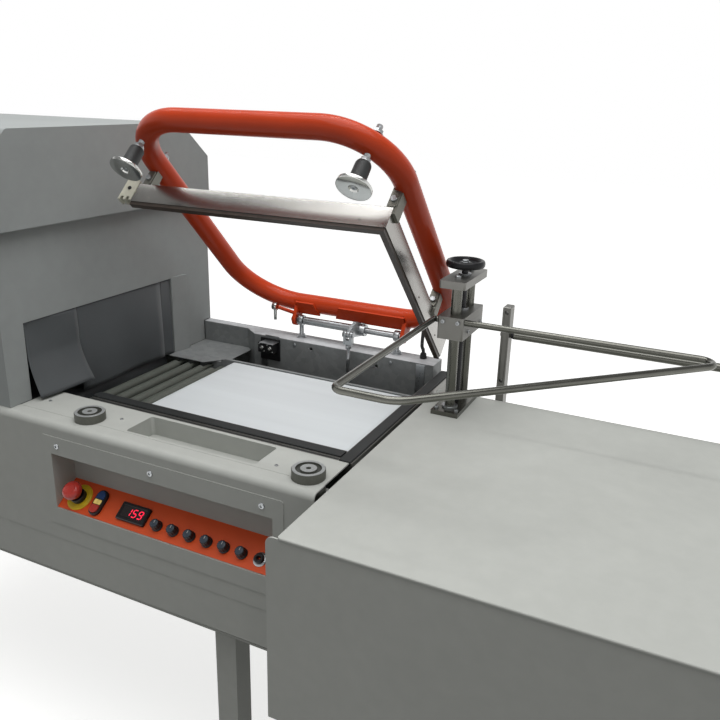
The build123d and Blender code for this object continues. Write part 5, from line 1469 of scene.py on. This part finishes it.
class SEALER_OT_post(bpy.types.Operator):
    """Inverter post: columns, top plate, threaded screw, handwheel, slide block and rod."""

    bl_idname = "sealer.post"
    bl_label = "Inverter post"

    def execute(self, context):
        dress(ground_steel, "post_columns", "inverter_rod")
        dress(milled_aluminium, "post_top_plate", "slide_block", edge=0.001)
        self.screw()
        self.wheel()
        self.fasteners()
        return {"FINISHED"}

    def screw(self):
        """Leadscrew with a 5 mm thread and plain ends."""
        low, high = span("leadscrew")
        bm = bmesh.new()
        foot = spot(COLUMN_X, SCREW_Y, 0)
        threaded(bm, foot, 7.0, low.z + 12, SCREW_TOP, 5.0, 20)
        turned(bm, [(0, low.z), (6.2, low.z), (6.2, low.z + 12), (0, low.z + 12)], foot, 24)
        turned(bm, [(0, SCREW_TOP), (6.6, SCREW_TOP), (6.6, high.z), (0, high.z)], foot, 24)
        thread = piece("leadscrew_thread", bm, "screw", [black_oxide])
        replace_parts(thread, "leadscrew")

    def wheel(self):
        """Dished handwheel with a rounded rim, web and hub nut."""
        low, high = span("handwheel")
        bm = bmesh.new()
        foot = spot(COLUMN_X, SCREW_Y, low.z)
        rim = (high.x - low.x) / 2 - 2
        outline = [(0, 0), (10.5, 0), (11.5, 1), (12, 5), (20, 6.8), (rim - 11, 7.8), (rim - 8, 4.8),
                   (rim - 4.4, 4), (rim - 1.8, 4.9), (rim - 0.2, 7.6), (rim, 11.5), (rim - 0.4, 15),
                   (rim - 2, 17.8), (rim - 4.8, 19), (rim - 7.6, 18.4), (rim - 9.4, 15.6), (rim - 10.8, 12),
                   (22, 10.4), (14.4, 10.2), (13, 13.2), (12, 14), (0, 14)]
        turned(bm, outline, foot, 64)
        wheel = piece("handwheel_rim", bm, "screw", [wheel_phenolic], 40)
        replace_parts(wheel, "handwheel")
        bm = bmesh.new()
        washer(bm, shifted(foot, 0, 0, 14), 4.0, 9.0, 1.0)
        nut(bm, shifted(foot, 0, 0, 14.8), 7.0, 4.0)
        bright("handwheel_nut", bm, "screw")

    def fasteners(self):
        """Cap screws over the columns and at their foot, clamp screws in the slide block, and collars."""
        plate_top = span("post_top_plate")[1].z
        bm = bmesh.new()
        for y in COLUMNS:
            cap_screw(bm, spot(COLUMN_X, y, plate_top), 6.5, 6.0)
            washer(bm, spot(COLUMN_X, y, POST_FOOT), 11.2, 17.0, 4.0)
        washer(bm, spot(COLUMN_X, SCREW_Y, plate_top), 7.4, 13.5, 3.0)
        for x, y in FOOT_SCREWS:
            cap_screw(bm, spot(COLUMN_X + x, y, POST_FOOT), 4.4, 4.2)
        bright("post_hardware", bm)
        low, high = span("slide_block")
        bm = bmesh.new()
        for y in COLUMNS:
            for x, way in ((low.x, -1), (high.x, 1)):
                cap_screw(bm, spot(x, y, low.z + 14, (way, 0, 0)), 4.0, 3.4)
        for x in (-16, 16):
            cap_screw(bm, spot(COLUMN_X + x, low.y, high.z - 10, (0, -1, 0)), 4.4, 3.6)
        washer(bm, spot(COLUMN_X, SCREW_Y, high.z), 7.5, 13.0, 5.0)
        bright("block_screws", bm, "carriage")


class SEALER_OT_stand(bpy.types.Operator):
    """Stand of square tube with end caps, levelling feet and their pads."""

    bl_idname = "sealer.stand"
    bl_label = "Stand"

    def execute(self, context):
        dress(powder_coat, "stand_frame", edge=0.0025)
        dress(zinc_plate, "levelling_feet", edge=FINE_EDGE)
        low, high = span("stand_frame")
        feet_low = span("levelling_feet")[0]
        rail_middle = high.z - 25.0
        bm = bmesh.new()
        for y in LEG_ROWS:
            for x, way in ((low.x + 0.2, -1), (high.x - 0.2, 1)):
                brick(bm, spot(x, y, rail_middle, (way, 0, 0)), 49, 49, 3.0, 1.0, 2.5)
        black("tube_end_caps", bm)
        bm = bmesh.new()
        for x in LEG_COLUMNS:
            for y in LEG_ROWS:
                turned(bm, [(26, 0.3), (28, 0.8), (28.4, 3), (28, 6.5), (26, 6.8)],
                       spot(x, y, feet_low.z), 40)
        piece("foot_pads", bm, "frame", [silicone_rubber])
        return {"FINISHED"}


class SEALER_OT_stage(bpy.types.Operator):
    """Floor, overhead softbox, narrow ceiling strip, soft sky and the camera."""

    bl_idname = "sealer.stage"
    bl_label = "Stage"

    def execute(self, context):
        settings = context.scene.sealer_stage
        context.scene.view_settings.view_transform = "Standard"
        self.floor()
        self.sky(context.scene, settings)
        self.lamp("overhead_softbox", settings.key_power, *SOFTBOX)
        self.lamp("ceiling_strip", settings.strip_power, *STRIP)
        self.camera(context.scene, settings.lens)
        return {"FINISHED"}

    def floor(self):
        """Large pale floor that keeps the machine's shadow."""
        bm = bmesh.new()
        corners = ((-1, -1), (1, -1), (1, 1), (-1, 1))
        bm.faces.new([bm.verts.new((x * FLOOR_SIZE, y * FLOOR_SIZE, 0.0)) for x, y in corners])
        mesh = bpy.data.meshes.new("floor")
        bm.to_mesh(mesh)
        bm.free()
        mesh.materials.append(self.floor_paint())
        floor = bpy.data.objects.new("floor", mesh)
        bpy.context.scene.collection.objects.link(floor)

    def floor_paint(self):
        """Matt studio floor: white to the eye and in gloss but for the shadow, grey as bounce."""
        material, tree, shader, place = start("studio_floor", {"Roughness": 0.9, "Specular IOR Level": 0.1})
        seen = self.seen(tree)
        white = between(tree, noise(tree, place, 900, 2.0), (linear("#f7f7f6"), linear("#fbfbfa")))
        glow = add(tree, "ShaderNodeMath", {0: seen, 1: FLOOR_GLOW}, operation="MULTIPLY").outputs[0]
        feed(tree, shader, {"Base Color": between(tree, seen, (linear("#8c8c8a"), white)),
                            "Emission Color": white, "Emission Strength": glow})
        return material

    def seen(self, tree):
        """One for rays that show the stage: from the camera, off gloss or through glass."""
        path = add(tree, "ShaderNodeLightPath")
        shown = path.outputs["Is Camera Ray"]
        for ray in ("Is Glossy Ray", "Is Transmission Ray"):
            shown = add(tree, "ShaderNodeMath", {0: shown, 1: path.outputs[ray]},
                        operation="MAXIMUM").outputs[0]
        return shown

    def sky(self, scene, settings):
        """White walls under a grey ceiling to the eye and in gloss; as a light, brightest overhead."""
        world = bpy.data.worlds.new("studio_sky")
        scene.world = world
        world.use_nodes = True
        tree = world.node_tree
        tree.nodes.clear()
        height = up_part(tree, add(tree, "ShaderNodeTexCoord").outputs["Generated"])
        sky = ranged(tree, height, settings.sky_side, settings.sky_top)
        light = add(tree, "ShaderNodeBackground", {"Strength": sky})
        walls = ranged(tree, height, 1.0, settings.ceiling, 0.3, 0.6)
        room = add(tree, "ShaderNodeBackground", {"Color": (1.0, 1.0, 1.0, 1.0), "Strength": walls})
        mix = add(tree, "ShaderNodeMixShader", {0: self.seen(tree), 1: light.outputs[0],
                                                2: room.outputs[0]})
        add(tree, "ShaderNodeOutputWorld", {"Surface": mix.outputs[0]})

    def lamp(self, name, power, size, place, target):
        """Rectangular lamp that looks at a point, its length along the machine."""
        place, target = at(*place), at(*target)
        light = bpy.data.lights.new(name, "AREA")
        light.shape = "RECTANGLE"
        light.energy = power
        light.size, light.size_y = size
        obj = bpy.data.objects.new(name, light)
        obj.location = place
        obj.rotation_mode = "QUATERNION"
        obj.rotation_quaternion = (target - place).to_track_quat("-Z", "Y")
        bpy.context.scene.collection.objects.link(obj)

    def camera(self, scene, lens):
        """Eye height view from the right front, as the machine's operator walks up."""
        azimuth, elevation, roll = (math.radians(angle) for angle in CAMERA_TURNS)
        back = Vector((math.sin(azimuth) * math.cos(elevation), -math.cos(azimuth) * math.cos(elevation),
                       math.sin(elevation)))
        data = bpy.data.cameras.new("camera")
        data.lens = lens
        data.sensor_width = 36.0
        data.shift_y = CAMERA_SHIFT
        camera = bpy.data.objects.new("camera", data)
        camera.location = at(*CAMERA_PLACE)
        camera.rotation_mode = "QUATERNION"
        camera.rotation_quaternion = (-back).to_track_quat("-Z", "Y") @ Quaternion((0, 0, 1), roll)
        scene.collection.objects.link(camera)
        scene.camera = camera


OPERATORS = (SEALER_OT_cabinet, SEALER_OT_controls, SEALER_OT_deck, SEALER_OT_conveyor, SEALER_OT_rear_rail,
             SEALER_OT_tunnel, SEALER_OT_arm, SEALER_OT_seal_bars, SEALER_OT_table, SEALER_OT_post,
             SEALER_OT_stand, SEALER_OT_stage)


class SEALER_PT_panel(bpy.types.Panel):
    """Sealer tab in the sidebar."""

    bl_idname = "SEALER_PT_panel"
    bl_label = "L bar sealer"
    bl_space_type = "VIEW_3D"
    bl_region_type = "UI"
    bl_category = "Sealer"

    def draw(self, context):
        for operator in OPERATORS:
            self.layout.operator(operator.bl_idname)
        for group in (context.scene.sealer_finish, context.scene.sealer_sizes, context.scene.sealer_stage):
            box = self.layout.box()
            for name in group.__annotations__:
                box.prop(group, name)


CLASSES = (SealerFinish, SealerSizes, SealerStage) + OPERATORS + (SEALER_PT_panel,)


def register():
    for cls in CLASSES:
        bpy.utils.register_class(cls)
    bpy.types.Scene.sealer_finish = PointerProperty(type=SealerFinish)
    bpy.types.Scene.sealer_sizes = PointerProperty(type=SealerSizes)
    bpy.types.Scene.sealer_stage = PointerProperty(type=SealerStage)


def unregister():
    del bpy.types.Scene.sealer_finish
    del bpy.types.Scene.sealer_sizes
    del bpy.types.Scene.sealer_stage
    for cls in reversed(CLASSES):
        bpy.utils.unregister_class(cls)


def main():
    register()
    for operator in OPERATORS:
        group, name = operator.bl_idname.split(".")
        getattr(getattr(bpy.ops, group), name)()


if __name__ == "__main__":
    main()
